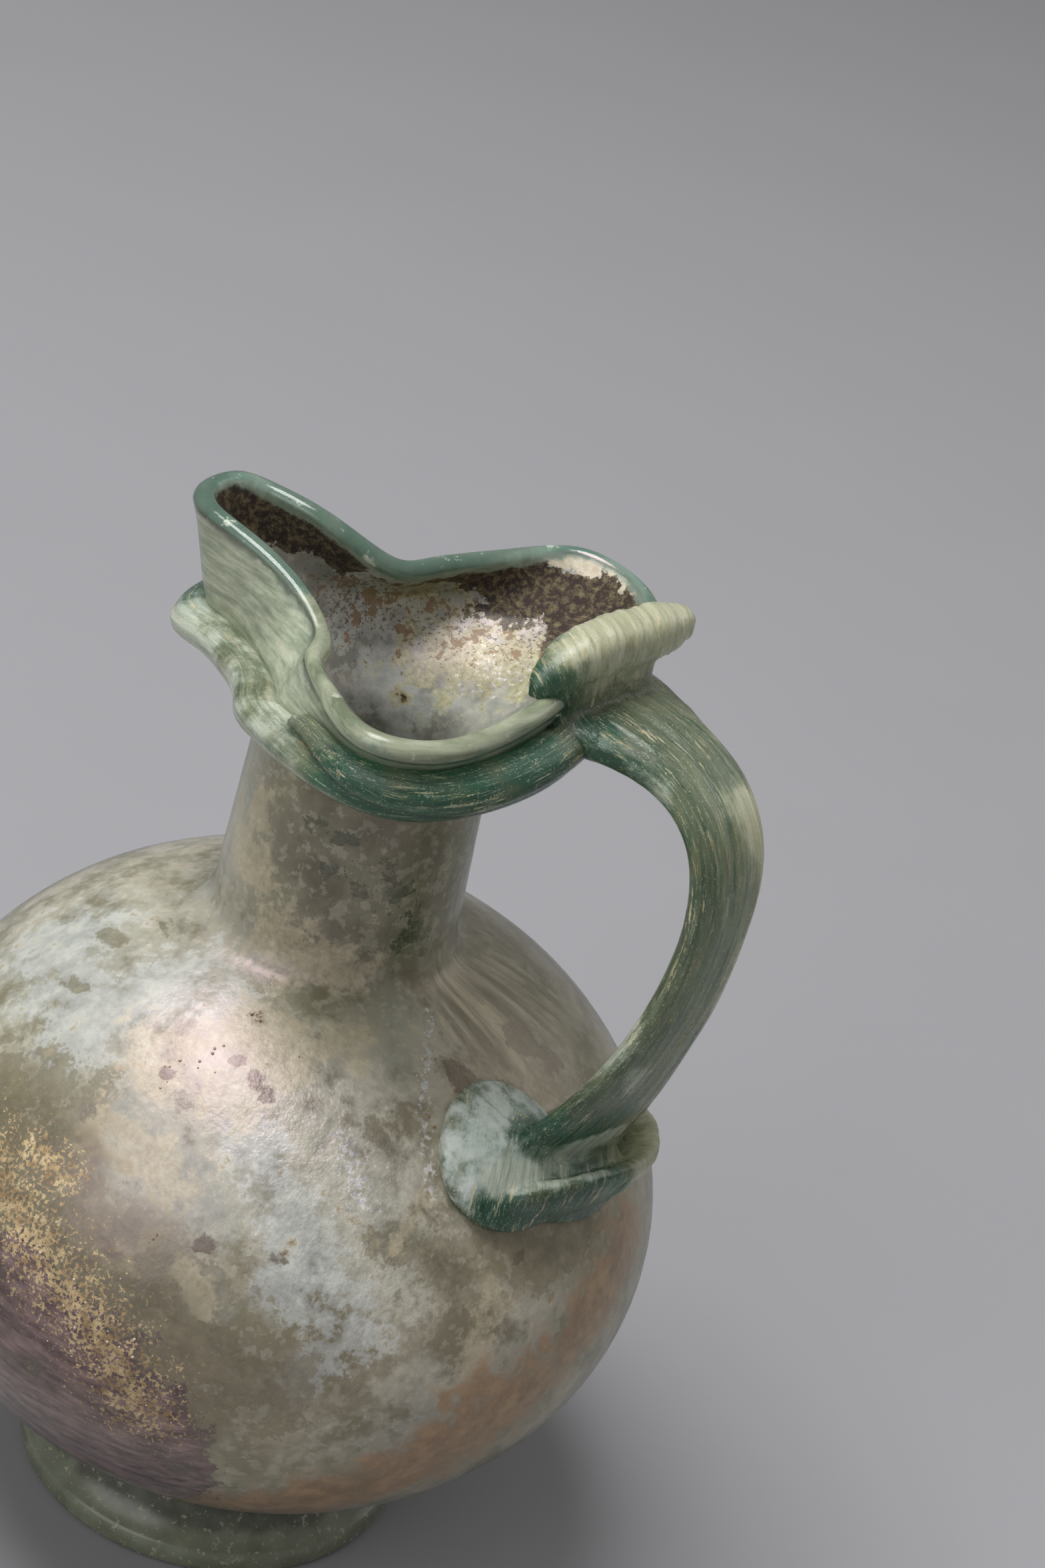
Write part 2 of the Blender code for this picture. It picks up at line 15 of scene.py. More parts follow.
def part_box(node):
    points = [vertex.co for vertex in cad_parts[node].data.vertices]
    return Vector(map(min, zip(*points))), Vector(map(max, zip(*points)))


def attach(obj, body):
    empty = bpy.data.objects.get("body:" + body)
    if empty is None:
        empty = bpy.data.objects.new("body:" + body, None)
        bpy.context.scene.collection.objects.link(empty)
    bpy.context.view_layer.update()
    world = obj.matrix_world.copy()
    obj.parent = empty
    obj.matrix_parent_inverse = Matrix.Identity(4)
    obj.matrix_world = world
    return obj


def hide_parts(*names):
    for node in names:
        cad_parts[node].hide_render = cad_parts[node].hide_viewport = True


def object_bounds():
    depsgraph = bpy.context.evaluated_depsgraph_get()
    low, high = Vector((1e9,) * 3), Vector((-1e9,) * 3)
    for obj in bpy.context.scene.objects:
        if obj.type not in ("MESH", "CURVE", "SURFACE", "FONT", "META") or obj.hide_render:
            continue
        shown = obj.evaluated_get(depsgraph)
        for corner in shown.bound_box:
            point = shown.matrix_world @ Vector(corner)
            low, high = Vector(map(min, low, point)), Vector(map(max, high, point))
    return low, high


bl_info = {
    "name": "Weathered Glass Jug",
    "version": (1, 0, 0),
    "blender": (4, 5, 0),
    "location": "3D View > Sidebar > Glass Jug",
    "description": "Makes a small weathered glass jug with a trefoil mouth and a strap handle",
    "category": "Add Mesh",
}

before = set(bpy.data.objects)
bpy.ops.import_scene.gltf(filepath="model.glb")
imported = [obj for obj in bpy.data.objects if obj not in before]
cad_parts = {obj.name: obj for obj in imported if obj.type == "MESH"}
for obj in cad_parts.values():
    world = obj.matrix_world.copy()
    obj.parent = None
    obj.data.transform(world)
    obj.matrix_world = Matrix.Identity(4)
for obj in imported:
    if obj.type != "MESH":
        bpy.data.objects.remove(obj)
CAD_BOX = [list(corner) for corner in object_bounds()]
BODY_LOW, BODY_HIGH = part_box("vessel")

MM = 0.001
UP = np.array([0.0, 0.0, 1.0])

# Clearance between two gathers of glass that are fused on the real jug
GAP = 0.3 * MM

# Body and neck: lift off the ground, lowest angle of the body in degrees, taper, and the soft shoulder
BODY_LIFT = 5.6 * MM
BODY_BOTTOM = -88.0
NECK_TAPER = 0.5 * MM
SHOULDER_BLEND = 4.5 * MM
SHOULDER_PULL = 1.86

# Plan of the mouth at the thread and at the lip: back, lobe, pinch, spout, half width of spout
FLARE_HEIGHT = 8.8 * MM
FLARE = [17.0 * MM, 21.8 * MM, 14.8 * MM, 18.5 * MM, 7.0 * MM]
FLARE_RISES = [2.2 * MM, 2.2 * MM, 1.0 * MM, 0.0]
FLARE_WAIST = 0.47
LIP = [18.4 * MM, 25.0 * MM, 9.5 * MM, 22.3 * MM, 6.0 * MM]
LIP_RISES = [6.2 * MM, 5.4 * MM, 5.0 * MM, 8.6 * MM]
LIP_WAIST = 0.35

# The mouth was shaped by hand, so its sides differ: lobe place, pinch place, hook, widenings
FAR_SIDE = (6.8 * MM, -6.2 * MM, 0.16, 0.8 * MM, 0.9 * MM)
NEAR_SIDE = (9.2 * MM, -4.0 * MM, 0.11, 0.0, -0.5 * MM)
SPOUT_LEAN = 1.4 * MM
CORNER_INSET = 2.8 * MM

# Foot: its edge, where the body sits in it, its corner, and where its light rim starts, as a share
FOOT_EDGE = 2.4 * MM
FOOT_SEAT_RADIUS = 15.8 * MM
FOOT_CORNER = 0.9 * MM
FOOT_SEAT_STEP = 0.5 * MM
FOOT_SIDE_SAG = 0.7 * MM
FOOT_RIM_START = 0.86
FOOT_RIM_FADE = 0.1

# Thread: how deep it is sunk in the wall, and the height and place of its strand and of the tail that
# lies over its start with a groove between. The tail runs between two angles and thins to its tip
THREAD_SINK = 1.0 * MM
STRAND_HEIGHT = 3.4 * MM
STRAND_RISE = -0.3 * MM
TAIL_HEIGHT = 3.1 * MM
TAIL_RISE = 2.1 * MM
TAIL_START = 8.0
TAIL_END = 100.0
TAIL_TAPER = 1.9
TAIL_TIP = 0.12

# The handle was pressed on hot, so it lies a little inside the skin of the wall
HANDLE_SEAM = -0.2 * MM
HANDLE_INSET = 1.4 * MM
HANDLE_SHOULDER = 2.4 * MM
HANDLE_TOP_DROP = 2.6 * MM
HANDLE_WIDEST_DROP = 17.2 * MM
HANDLE_SQUARENESS = 0.75
HANDLE_ROOT_WIDTH = 19.0 * MM
HANDLE_END_WIDTH = 15.0 * MM
HANDLE_ROOT_THICKNESS = 5.2 * MM
HANDLE_ROOT_SIDE = 2.2 * MM
HANDLE_ROOT_SHARE = 0.16
HANDLE_END_SHARE = 0.50
HANDLE_TURN = -12.0
HANDLE_END_TWIST = 20.0

# Thumb rest: a ridge on a stem over the rim, turned and tilted in degrees, drooping at its near end
REST_LENGTH = 20.5 * MM
REST_THICKNESS = 5.0 * MM
REST_RISE = 4.4 * MM
REST_OUT = 0.8 * MM
REST_SIDE = -1.0 * MM
REST_TURN = -17.0
REST_SLOPE = 2.0
REST_DROOP = 2.2 * MM
REST_STEM_THICKNESS = 3.4 * MM
REST_STEM_SHARE = 0.78

# Pads on the shoulder, at an angle round the axis and up the body's curve: the round one and the strap's
PAD_AZIMUTH = -23.0
PAD_SLOPE = 41.8
PAD_RADIUS = 6.8 * MM
PAD_THICKNESS = 2.2 * MM
PAD_EDGE = 0.6 * MM
PAD_SINK = 0.8 * MM
STRAP_AZIMUTH = -6.5
STRAP_SLOPE = 36.0
STRAP_PAD = (8.2 * MM, 5.0 * MM)

# Claw: a fin from its foot on the body to its crest, as places by angle and slope, the crest with
# its lift in millimetres
CLAW_THICKNESS = 2.4 * MM
CLAW_CREST = ((-29.0, 35.6, 1.2), (-25.0, 36.4, 3.0), (-19.0, 35.6, 3.9), (-12.0, 34.5, 4.3),
              (-5.0, 33.0, 4.5), (2.0, 31.0, 4.8), (5.6, 32.8, 5.3), (6.0, 36.4, 5.2), (5.0, 40.0, 4.6))
CLAW_FOOT = ((-31.0, 34.4), (-25.6, 32.4), (-19.0, 30.4), (-12.0, 29.2), (-5.0, 28.6), (1.8, 28.0),
             (6.0, 30.2), (6.4, 34.6), (5.4, 38.8))

# Facets of the finished pieces: columns round the axis, rows of a stretch, sides and steps of a form
COLUMNS = 336
BODY_ROWS = 110
UPPER_ROWS = 14
THREAD_ROWS = (12, 5)
CLEARANCE_ROWS = (40, 7)
LIP_ROWS = 9
CLEARANCE_COLUMNS = 96
FOOT_COLUMNS = 192
THREAD_SIDES = 20
STRAP_SIDES = 40
STRAP_STEPS = 40
FORM_SIDES = 24
PAD_SIDES = 48
REST_STEPS = 41
CLAW_STEPS = 61

# How round the corners of a drawn form's section are: 1 gives an ellipse, 0 a box
ROUNDNESS = 0.8

# Where glass melts together: the grid of the melt, and how many times it is softened
THREAD_GRID = 0.26 * MM
HANDLE_GRID = 0.24 * MM
SOFTENING = 3

# Patches of crust are 3 mm wide and ripples of the wall 17 mm. These are their numbers to the metre
CRUST_PER_METRE = 330.0
RIPPLES_PER_METRE = 60.0

# Silky flow of the pulled neck: the radius where its turns are measured, and how it is drawn out
FLOW_RADIUS = 22.0 * MM
FLOW_STRETCH = 0.12
SILKY_STRETCH = (0.08, 1.0, 8.0)

# Ribs of glass that was crimped with pincers: their slant, and how little they change with depth
CRIMP_SLANT = 0.35
CRIMP_DEPTH = 0.2

# How far bare glass fades out below the lip, in millimetres
LIP_FADE = 1.3

# Pale mark of the round pad: its half width in millimetres, and where up the strap it ends
PAD_MARK = 6.0
PAD_MARK_TOP = 3.8 * MM
PAD_MARK_FADE = 1.4 * MM

# Light in the glass: refraction of soda glass, the iridescent film in nanometres and its refraction,
# and the red, green and blue that deep glass lets through, with how fast it does so
GLASS_IOR = 1.52
FILM_THICKNESS = 330.0
FILM_IOR = 1.6
GREEN_LEFT = (0.36, 0.74, 0.52)
GREEN_DENSITY = 45.0

# Stage: the floor, the sky, and the lamps as name, azimuth, elevation, distance, width and watts
FLOOR_HALF = 3.0
SKY_COLOUR = (0.64, 0.63, 0.62, 1.0)
SKY_STRENGTH = 0.45
LAMP_TARGET = (0.0, 0.0, 0.05)
LAMPS = (("key", -160.0, 75.0, 0.9, 0.55, 8.0), ("fill", -110.0, 30.0, 1.2, 1.0, 4.0),
         ("rim", 60.0, 30.0, 1.4, 0.8, 1.5))

# Camera at the photograph's view: where it stands, which way it looks, its roll and its lens
CAMERA_PLACE = (95.13 * MM, -235.45 * MM, 213.01 * MM)
CAMERA_AZIMUTH = -71.12
CAMERA_ELEVATION = 27.37
CAMERA_ROLL = 14.76
CAMERA_LENS = 73.14


def length(label, text, default):
    """Size in metres for a property group."""
    return bpy.props.FloatProperty(name=label, description=text, default=default, min=0.0, unit="LENGTH")


def tint(label, text, default):
    """Colour for a property group, given as an sRGB hex value."""
    return bpy.props.FloatVectorProperty(name=label, description=text, default=from_hex(default), size=3,
                                         min=0.0, max=1.0, subtype="COLOR")


def from_hex(code):
    """Linear colour from an sRGB hex value."""
    parts = [int(code[i:i + 2], 16) / 255 for i in (1, 3, 5)]
    return tuple(c / 12.92 if c <= 0.04045 else ((c + 0.055) / 1.055) ** 2.4 for c in parts)


class JugForm(bpy.types.PropertyGroup):
    """Main sizes of the jug."""

    body_radius: length("Body Radius", "Half of the blown body's width", 0.5 * (BODY_HIGH.x - BODY_LOW.x))
    body_half_height: length("Body Half Height", "Half of the blown body's height", 29.6 * MM)
    wall: length("Wall", "Thickness of the blown wall", 1.8 * MM)
    neck_radius: length("Neck Radius", "Radius of the neck below the mouth", 11.0 * MM)
    neck_height: length("Neck Height", "Height of the neck above the shoulder", 17.2 * MM)
    lip_wall: length("Lip Wall", "Thickness of the rounded lip", 2.1 * MM)
    foot_radius: length("Foot Radius", "Radius of the applied foot", 19.2 * MM)
    thread_depth: length("Thread Depth", "How far the thread stands off the wall", 3.2 * MM)
    strap_width: length("Strap Width", "Width of the strap along its bow", 10.6 * MM)
    strap_thickness: length("Strap Thickness", "Thickness of the strap along its bow", 3.5 * MM)


class JugRelief(bpy.types.PropertyGroup):
    """Sizes of the relief that weathering and drawing left on the glass."""

    skin: length("Skin", "How far the weathered skin lies inside the sound surface", 0.12 * MM)
    pit_depth: length("Pit Depth", "Depth of the pits in the weathered skin", 0.16 * MM)
    pit_size: length("Pit Size", "Distance between two pits", 1.1 * MM)
    crust_height: length("Crust Height", "Height of the sandy crust", 0.12 * MM)
    ripple: length("Ripple", "Depth of the blower's ripples in the wall", 0.10 * MM)
    rib_depth: length("Rib Depth", "Depth of the ribs along drawn glass", 0.26 * MM)
    rib_spacing: length("Rib Spacing", "Distance between two ribs", 1.1 * MM)
    grain_size: length("Grain Size", "Width of one grain of burial sand", 0.42 * MM)


class JugColours(bpy.types.PropertyGroup):
    """Colours of the glasses and of what lies on them."""

    clear: tint("Clear Glass", "Natural glass where nothing covers it", "#b4c8b4")
    stain: tint("Stained Glass", "Light tone of the stained olive glass", "#aca791")
    film: tint("Weathering Film", "Light tone of the silvery film over the blown wall", "#b1ad9c")
    gold: tint("Gold Dust", "Light tone of the sandy gold dust", "#c5b084")
    violet: tint("Violet Film", "Light tone of the violet band low on the body", "#8b7573")
    # Coppery film, its tone pushed orange-brown as a painted reflection of warm skin colour
    copper_and_reflection: tint("Copper Film", "Light tone of the copper band below the violet one", "#a6835b")
    crust: tint("Dark Crust", "Light tone of the black-brown crust in the mouth", "#756c4c")
    lip: tint("Lip Glass", "Light tone of the fire-polished lip", "#abc8b5")
    drawn: tint("Drawn Glass", "Light tone of thread and handle", "#b0ba97")
    deep: tint("Deep Glass", "Light tone of drawn glass where it is thick", "#529679")
    # The foot's tone is darkened as painted shade
    foot: tint("Foot Glass", "Light tone of the pressed foot", "#868a76")
    sand: tint("Burial Sand", "Light tone of the grains of sand", "#ddd3bd")
    floor: tint("Floor", "Plain pale floor", "#98989c")


def direction(azimuth, elevation):
    """Way from the jug at an angle round its axis and an angle up, in degrees."""
    a, e = math.radians(azimuth), math.radians(elevation)
    return Vector((math.cos(e) * math.cos(a), math.cos(e) * math.sin(a), math.sin(e)))


def unit(vectors):
    """The same ways with length one."""
    return vectors / np.linalg.norm(vectors, axis=-1, keepdims=True)


def run_along(points):
    """How far along a line each of its points lies."""
    return np.concatenate([[0.0], np.cumsum(np.linalg.norm(np.diff(points, axis=0), axis=1))])


def turns(count):
    """Angles at equal steps once round."""
    return np.linspace(0.0, 2.0 * math.pi, count, endpoint=False)


def on_curve(jug, angle, lift=0.0):
    """Distance from the axis and height on the body's curve, lifted off its surface."""
    centre = BODY_LIFT + jug.body_half_height
    place = np.array([jug.body_radius * math.cos(angle), centre + jug.body_half_height * math.sin(angle)])
    away = np.array([math.cos(angle) / jug.body_radius, math.sin(angle) / jug.body_half_height])
    return place + lift * away / np.linalg.norm(away)


def on_body(jug, azimuth, slope, lift=0.0):
    """Point on the body at an angle round the axis and up its curve, lifted off the surface."""
    reach, height = on_curve(jug, slope, lift)
    return np.array([reach * math.cos(azimuth), reach * math.sin(azimuth), height])


def neck_top(jug):
    """Height where the neck starts to flare into the mouth."""
    root = on_curve(jug, math.acos((jug.neck_radius + NECK_TAPER) / jug.body_radius))[1]
    return root + jug.neck_height


def rim_back(jug):
    """Height of the lip at the back, where the handle is."""
    return neck_top(jug) + FLARE_HEIGHT + LIP_RISES[0]


def hermite(start, end, leave, arrive, t):
    """Point at t on the cubic that leaves and arrives with the given tangents."""
    return (start * (2 * t**3 - 3 * t**2 + 1) + leave * (t**3 - 2 * t**2 + t)
            + end * (3 * t**2 - 2 * t**3) + arrive * (t**3 - t**2))


def closed_spline(points, samples):
    """Points at equal steps along the smooth closed curve through a few points."""
    points = np.asarray(points, float)
    count = len(points)
    matrix = 4.0 * np.eye(count) + np.roll(np.eye(count), 1, 0) + np.roll(np.eye(count), -1, 0)
    slopes = np.linalg.solve(matrix, 3.0 * (np.roll(points, -1, 0) - np.roll(points, 1, 0)))
    t = np.linspace(0.0, 1.0, 40, endpoint=False)[None, :, None]
    curve = hermite(points[:, None], np.roll(points, -1, 0)[:, None],
                    slopes[:, None], np.roll(slopes, -1, 0)[:, None], t)
    curve = curve.reshape(-1, points.shape[1])
    curve = np.vstack([curve, curve[:1]])
    run = run_along(curve[:, :2])
    steps = np.linspace(0.0, run[-1], samples, endpoint=False)
    return np.stack([np.interp(steps, run, curve[:, k]) for k in range(points.shape[1])], axis=1)


def half_outline(reaches, rises, waist, side):
    """Half of the mouth's plan, from the handle past a lobe and a pinch to the spout, with its lean."""
    back, lobe, pinch, spout, spout_half = reaches
    back_rise, lobe_rise, pinch_rise, spout_rise = rises
    lobe_place, pinch_place, hook, pinch_widening, spout_widening = side
    pinch = pinch + pinch_widening
    spout_half = spout_half + spout_widening
    span = lobe_place - pinch_place
    channel = spout + pinch_place
    climb = spout_rise - pinch_rise
    half = [
        (back, 0.0, back_rise),
        (back, 0.40 * lobe, back_rise),
        (back - CORNER_INSET, 0.83 * lobe, lobe_rise),
        (lobe_place, lobe, lobe_rise),
        (pinch_place + 0.50 * span, pinch + 0.69 * (lobe - pinch), 0.5 * (lobe_rise + pinch_rise)),
        (pinch_place + hook * span, pinch + 0.28 * (lobe - pinch), pinch_rise),
        (pinch_place, pinch, pinch_rise + 0.1 * climb),
        (pinch_place - 0.28 * channel, spout_half + waist * (pinch - spout_half), pinch_rise + 0.6 * climb),
        (-0.72 * spout, spout_half, pinch_rise + 0.9 * climb),
        (-0.93 * spout, 0.72 * spout_half, spout_rise),
        (-spout, 0.0, spout_rise),
    ]
    lean = [SPOUT_LEAN * max(0.0, (pinch_place - x) / channel) for x, y, rise in half]
    return half, lean


def mouth_outline(reaches, rises, waist, level, columns):
    """Closed plan of the mouth, with its height at each column."""
    far_half, far_lean = half_outline(reaches, rises, waist, FAR_SIDE)
    near_half, near_lean = half_outline(reaches, rises, waist, NEAR_SIDE)
    corners = [(x, y + lean, rise) for (x, y, rise), lean in zip(far_half, far_lean)]
    back_again = [(x, -y + lean, rise) for (x, y, rise), lean in zip(near_half, near_lean)]
    outline = closed_spline(corners + back_again[-2:0:-1], columns)
    outline[:, 2] += level
    return outline


def circle(radius, height, columns):
    """Ring of points round the axis, one for each column."""
    angle = turns(columns)
    return np.stack([radius * np.cos(angle), radius * np.sin(angle), np.full(columns, height)], axis=1)


def vessel_rings(jug, columns, body_rows, upper_rows):
    """Outside of the vessel as rings, with the row of the thread."""
    root_radius = jug.neck_radius + NECK_TAPER
    shoulder = math.acos((root_radius + SHOULDER_BLEND) / jug.body_radius)
    rows = np.linspace(math.radians(BODY_BOTTOM), shoulder, body_rows)
    rings = [circle(*on_curve(jug, angle), columns) for angle in rows]
    low = on_curve(jug, shoulder)
    along = np.array([-jug.body_radius * math.sin(shoulder), jug.body_half_height * math.cos(shoulder)])
    along = along / np.linalg.norm(along)
    root = on_curve(jug, math.acos(root_radius / jug.body_radius))[1]
    high = np.array([root_radius, root + SHOULDER_BLEND])
    pull = SHOULDER_PULL * np.linalg.norm(high - low)
    for t in np.linspace(0.0, 1.0, upper_rows)[1:]:
        rings.append(circle(*hermite(low, high, pull * along, np.array([0.0, pull]), t), columns))
    top = neck_top(jug)
    for t in np.linspace(0.0, 1.0, upper_rows)[1:]:
        rings.append(circle(root_radius - t * NECK_TAPER, high[1] + t * (top - high[1]), columns))
    level = mouth_outline(FLARE, FLARE_RISES, FLARE_WAIST, top + FLARE_HEIGHT, columns)
    lip = mouth_outline(LIP, LIP_RISES, LIP_WAIST, top + FLARE_HEIGHT, columns)
    start = rings[-1]
    first = np.linalg.norm(level - start, axis=1, keepdims=True)
    second = np.linalg.norm(lip - level, axis=1, keepdims=True)
    turn = unit((level - start) / first + (lip - level) / second)
    for t in np.linspace(0.0, 1.0, upper_rows)[1:]:
        rings.append(hermite(start, level, UP * first, turn * first, t))
    thread_row = len(rings) - 1
    for t in np.linspace(0.0, 1.0, upper_rows)[1:]:
        rings.append(hermite(level, lip, turn * second, lip - level, t))
    return np.array(rings), thread_row


def ring_frames(rings):
    """Outward normal and upward tangent at each point of a stack of rings."""
    upward = np.gradient(rings, axis=0)
    around = np.roll(rings, -1, axis=1) - np.roll(rings, 1, axis=1)
    return unit(np.cross(around, upward)), unit(upward)


def lip_crest(jug, rings, lift, count):
    """Rings of the rounded lip, from its outside over its top."""
    normal, upward = ring_frames(rings)
    centre = rings[-1] - normal[-1] * jug.lip_wall / 2
    radius = jug.lip_wall / 2 + lift
    arc = np.linspace(0.0, math.pi, count + 2)[1:-1]
    return [centre + radius * (math.cos(a) * normal[-1] + math.sin(a) * upward[-1]) for a in arc]


def new_object(name, points, faces):
    """Object from points and faces, smooth, with its faces turned outwards."""
    points = np.asarray(points, float)
    volume = 0.0
    for face in faces:
        for k in range(1, len(face) - 1):
            volume += np.dot(points[face[0]], np.cross(points[face[k]], points[face[k + 1]]))
    if volume < 0.0:
        faces = [tuple(reversed(face)) for face in faces]
    mesh = bpy.data.meshes.new(name)
    mesh.from_pydata([tuple(p) for p in points], [], faces)
    mesh.update()
    mesh.shade_smooth()
    obj = bpy.data.objects.new(name, mesh)
    bpy.context.scene.collection.objects.link(obj)
    return obj


def stack(name, rings, loop=False):
    """Solid skinned over rings of equal count: capped at both ends, or joined end to end."""
    count = len(rings[0])
    points = np.concatenate([np.asarray(ring) for ring in rings])
    faces = []
    for i in range(len(rings) if loop else len(rings) - 1):
        a = i * count
        b = ((i + 1) % len(rings)) * count
        for j in range(count):
            k = (j + 1) % count
            faces.append((a + j, a + k, b + k, b + j))
    if not loop:
        for ring, flip in ((0, True), (len(rings) - 1, False)):
            centre = len(points)
            points = np.vstack([points, np.mean(rings[ring], axis=0)])
            for j in range(count):
                edge = (ring * count + j, ring * count + (j + 1) % count)
                faces.append((edge[1], edge[0], centre) if flip else (edge[0], edge[1], centre))
    return new_object(name, points, faces)


def filled_vessel(jug, name, lift):
    """Vessel as one filled lump, swollen by a clearance, for cutting what is fused to it."""
    rings, _ = vessel_rings(jug, CLEARANCE_COLUMNS, *CLEARANCE_ROWS)
    normal, _ = ring_frames(rings)
    return stack(name, list(rings + normal * lift) + lip_crest(jug, rings, lift, 5))


def thread_sections(jug, columns, sizes, height, rise):
    """Sections of the thread at some columns of the mouth, each of its own size, sunk in the wall."""
    rings, thread_row = vessel_rings(jug, COLUMNS, *THREAD_ROWS)
    normal, upward = ring_frames(rings)
    sections = []
    for column, size in zip(columns, sizes):
        deep = jug.thread_depth / 2 * size
        tall = height / 2 * size
        out = normal[thread_row, column]
        up = upward[thread_row, column]
        centre = rings[thread_row, column] + out * (GAP + deep - THREAD_SINK / 2) + up * rise
        thick = deep + THREAD_SINK / 2
        sections.append([centre + thick * math.cos(a) * out + tall * math.sin(a) * up
                         for a in turns(THREAD_SIDES)])
    return sections


def handle_line(jug):
    """Points down the middle of the strap, as reach from the axis and height."""
    reach = jug.body_radius - HANDLE_INSET
    top = rim_back(jug) - HANDLE_TOP_DROP
    widest = rim_back(jug) - HANDLE_WIDEST_DROP
    bend = LIP[0] + HANDLE_SHOULDER
    line = [(FLARE[0] - jug.wall / 2, top), (LIP[0], top)]
    for turn in np.radians(np.linspace(90.0, 0.0, STRAP_STEPS)):
        line.append((bend + (reach - bend) * math.cos(turn) ** HANDLE_SQUARENESS,
                     widest + (top - widest) * math.sin(turn) ** HANDLE_SQUARENESS))
    end = strap_end(jug)
    for t in np.linspace(0.0, 1.0, STRAP_STEPS)[1:]:
        line.append((reach - (reach - end[0]) * t**2, widest + t * (end[2] - widest)))
    return np.array(line)


def strap_end(jug):
    """Point on the shoulder where the middle of the strap ends."""
    return on_body(jug, math.radians(STRAP_AZIMUTH), math.radians(STRAP_SLOPE), GAP + PAD_THICKNESS / 2)


def superellipse(middle, wide, thick, sides):
    """Rounded-corner section around a point, from its half width and half thickness vectors."""
    section = []
    for a in turns(sides):
        section.append(middle + math.copysign(abs(math.cos(a)) ** ROUNDNESS, math.cos(a)) * wide
                       + math.copysign(abs(math.sin(a)) ** ROUNDNESS, math.sin(a)) * thick)
    return section


def strap_sections(jug):
    """Sections of the strap, with the line down its middle and the way across it."""
    line = handle_line(jug)
    run = run_along(line)
    slope = unit(np.gradient(line, axis=0))
    end_side = strap_end(jug)[1]
    sections, middles, ways = [], [], []
    for (reach, height), along, s in zip(line, slope, run / run[-1]):
        turn = math.radians(HANDLE_TURN + (STRAP_AZIMUTH - HANDLE_TURN) * s)
        ahead = np.array([math.cos(turn), math.sin(turn), 0.0])
        side = np.array([-math.sin(turn), math.cos(turn), 0.0])
        across = along[0] * UP - along[1] * ahead
        root = math.exp(-((s / HANDLE_ROOT_SHARE) ** 2))
        spread = max(0.0, 1.0 - (1.0 - s) / HANDLE_END_SHARE) ** 1.5
        half_width = (jug.strap_width + (HANDLE_ROOT_WIDTH - jug.strap_width) * root) / 2
        half_thick = (jug.strap_thickness + (HANDLE_ROOT_THICKNESS - jug.strap_thickness) * root) / 2
        wider = half_width + (HANDLE_END_WIDTH - jug.strap_width) / 2 * spread
        twist = math.radians(HANDLE_END_TWIST) * spread
        wide = wider * (math.cos(twist) * side + math.sin(twist) * across)
        thick = half_thick * (math.cos(twist) * across - math.sin(twist) * side)
        middle = np.array([reach, end_side + (HANDLE_ROOT_SIDE - end_side) * (1.0 - s) ** 1.5, height])
        middle = middle + half_width * side - wide
        sections.append(superellipse(middle, wide, thick, STRAP_SIDES))
        middles.append(middle)
        ways.append(wide / np.linalg.norm(wide))
    return sections, np.array(middles), np.array(ways)


def rest_sections(jug):
    """Sections of the thumb rest's ridge and of its stem, with the ridge's line and way across."""
    turn = math.radians(REST_TURN)
    slope = math.radians(REST_SLOPE)
    ahead = np.array([math.cos(turn), math.sin(turn), 0.0])
    along = np.array([-math.sin(turn) * math.cos(slope), math.cos(turn) * math.cos(slope), math.sin(slope)])
    up = np.cross(ahead, along)
    rim = rim_back(jug)
    middle = np.array([LIP[0] + REST_OUT, HANDLE_ROOT_SIDE + REST_SIDE, rim + REST_RISE])
    ridge, stem, middles = [], [], []
    for t in np.linspace(-1.0, 1.0, REST_STEPS):
        size = REST_THICKNESS / 2 * math.sqrt(max(1.0 - abs(t) ** 3.5, 0.05))
        centre = middle + along * REST_LENGTH / 2 * t - up * REST_DROOP * max(-t, 0.0) ** 3
        ridge.append(superellipse(centre, size * ahead, size * up, FORM_SIDES))
        middles.append(centre)
        share = t * REST_STEM_SHARE - (1.0 - REST_STEM_SHARE)
        top = middle + along * REST_LENGTH / 2 * share - up * REST_DROOP * max(-share, 0.0) ** 3
        tall = (top[2] - rim + HANDLE_TOP_DROP) / 2
        thick = REST_STEM_THICKNESS / 2 * math.sqrt(max(1.0 - abs(t) ** 6, 0.1))
        stem.append(superellipse(top - tall * up, thick * ahead, tall * up, FORM_SIDES))
    return ridge, stem, np.array(middles), np.tile(ahead, (len(middles), 1))


def pad_rings(jug, azimuth, slope, half_width, half_height, sink):
    """Rings of a lens of glass that follows the shoulder, its underside sunk in it."""
    rings = []
    slope = math.radians(slope)
    climb = math.hypot(jug.body_radius * math.sin(slope), jug.body_half_height * math.cos(slope))
    turn = jug.body_radius * math.cos(slope)
    parts = [(part, -sink) for part in (0.3, 0.7, 1.0)]
    for part in (1.0, 0.92, 0.8, 0.6, 0.4, 0.2):
        parts.append((part, GAP + PAD_EDGE + (PAD_THICKNESS - PAD_EDGE) * (1.0 - part**2.5)))
    for part, lift in parts:
        rings.append([on_body(jug, math.radians(azimuth) + part * half_width * math.cos(a) / turn,
                              slope + part * half_height * math.sin(a) / climb, lift)
                      for a in turns(PAD_SIDES)])
    return rings


def along_path(path, shares):
    """Points at some shares of the way along a path of places, with its corners rounded off."""
    path = np.asarray(path, float)
    spots = shares * (len(path) - 1)
    points = np.stack([np.interp(spots, range(len(path)), column) for column in path.T], axis=1)
    for _ in range(len(shares) // 2):
        points[1:-1] = 0.5 * points[1:-1] + 0.25 * (points[:-2] + points[2:])
    return points


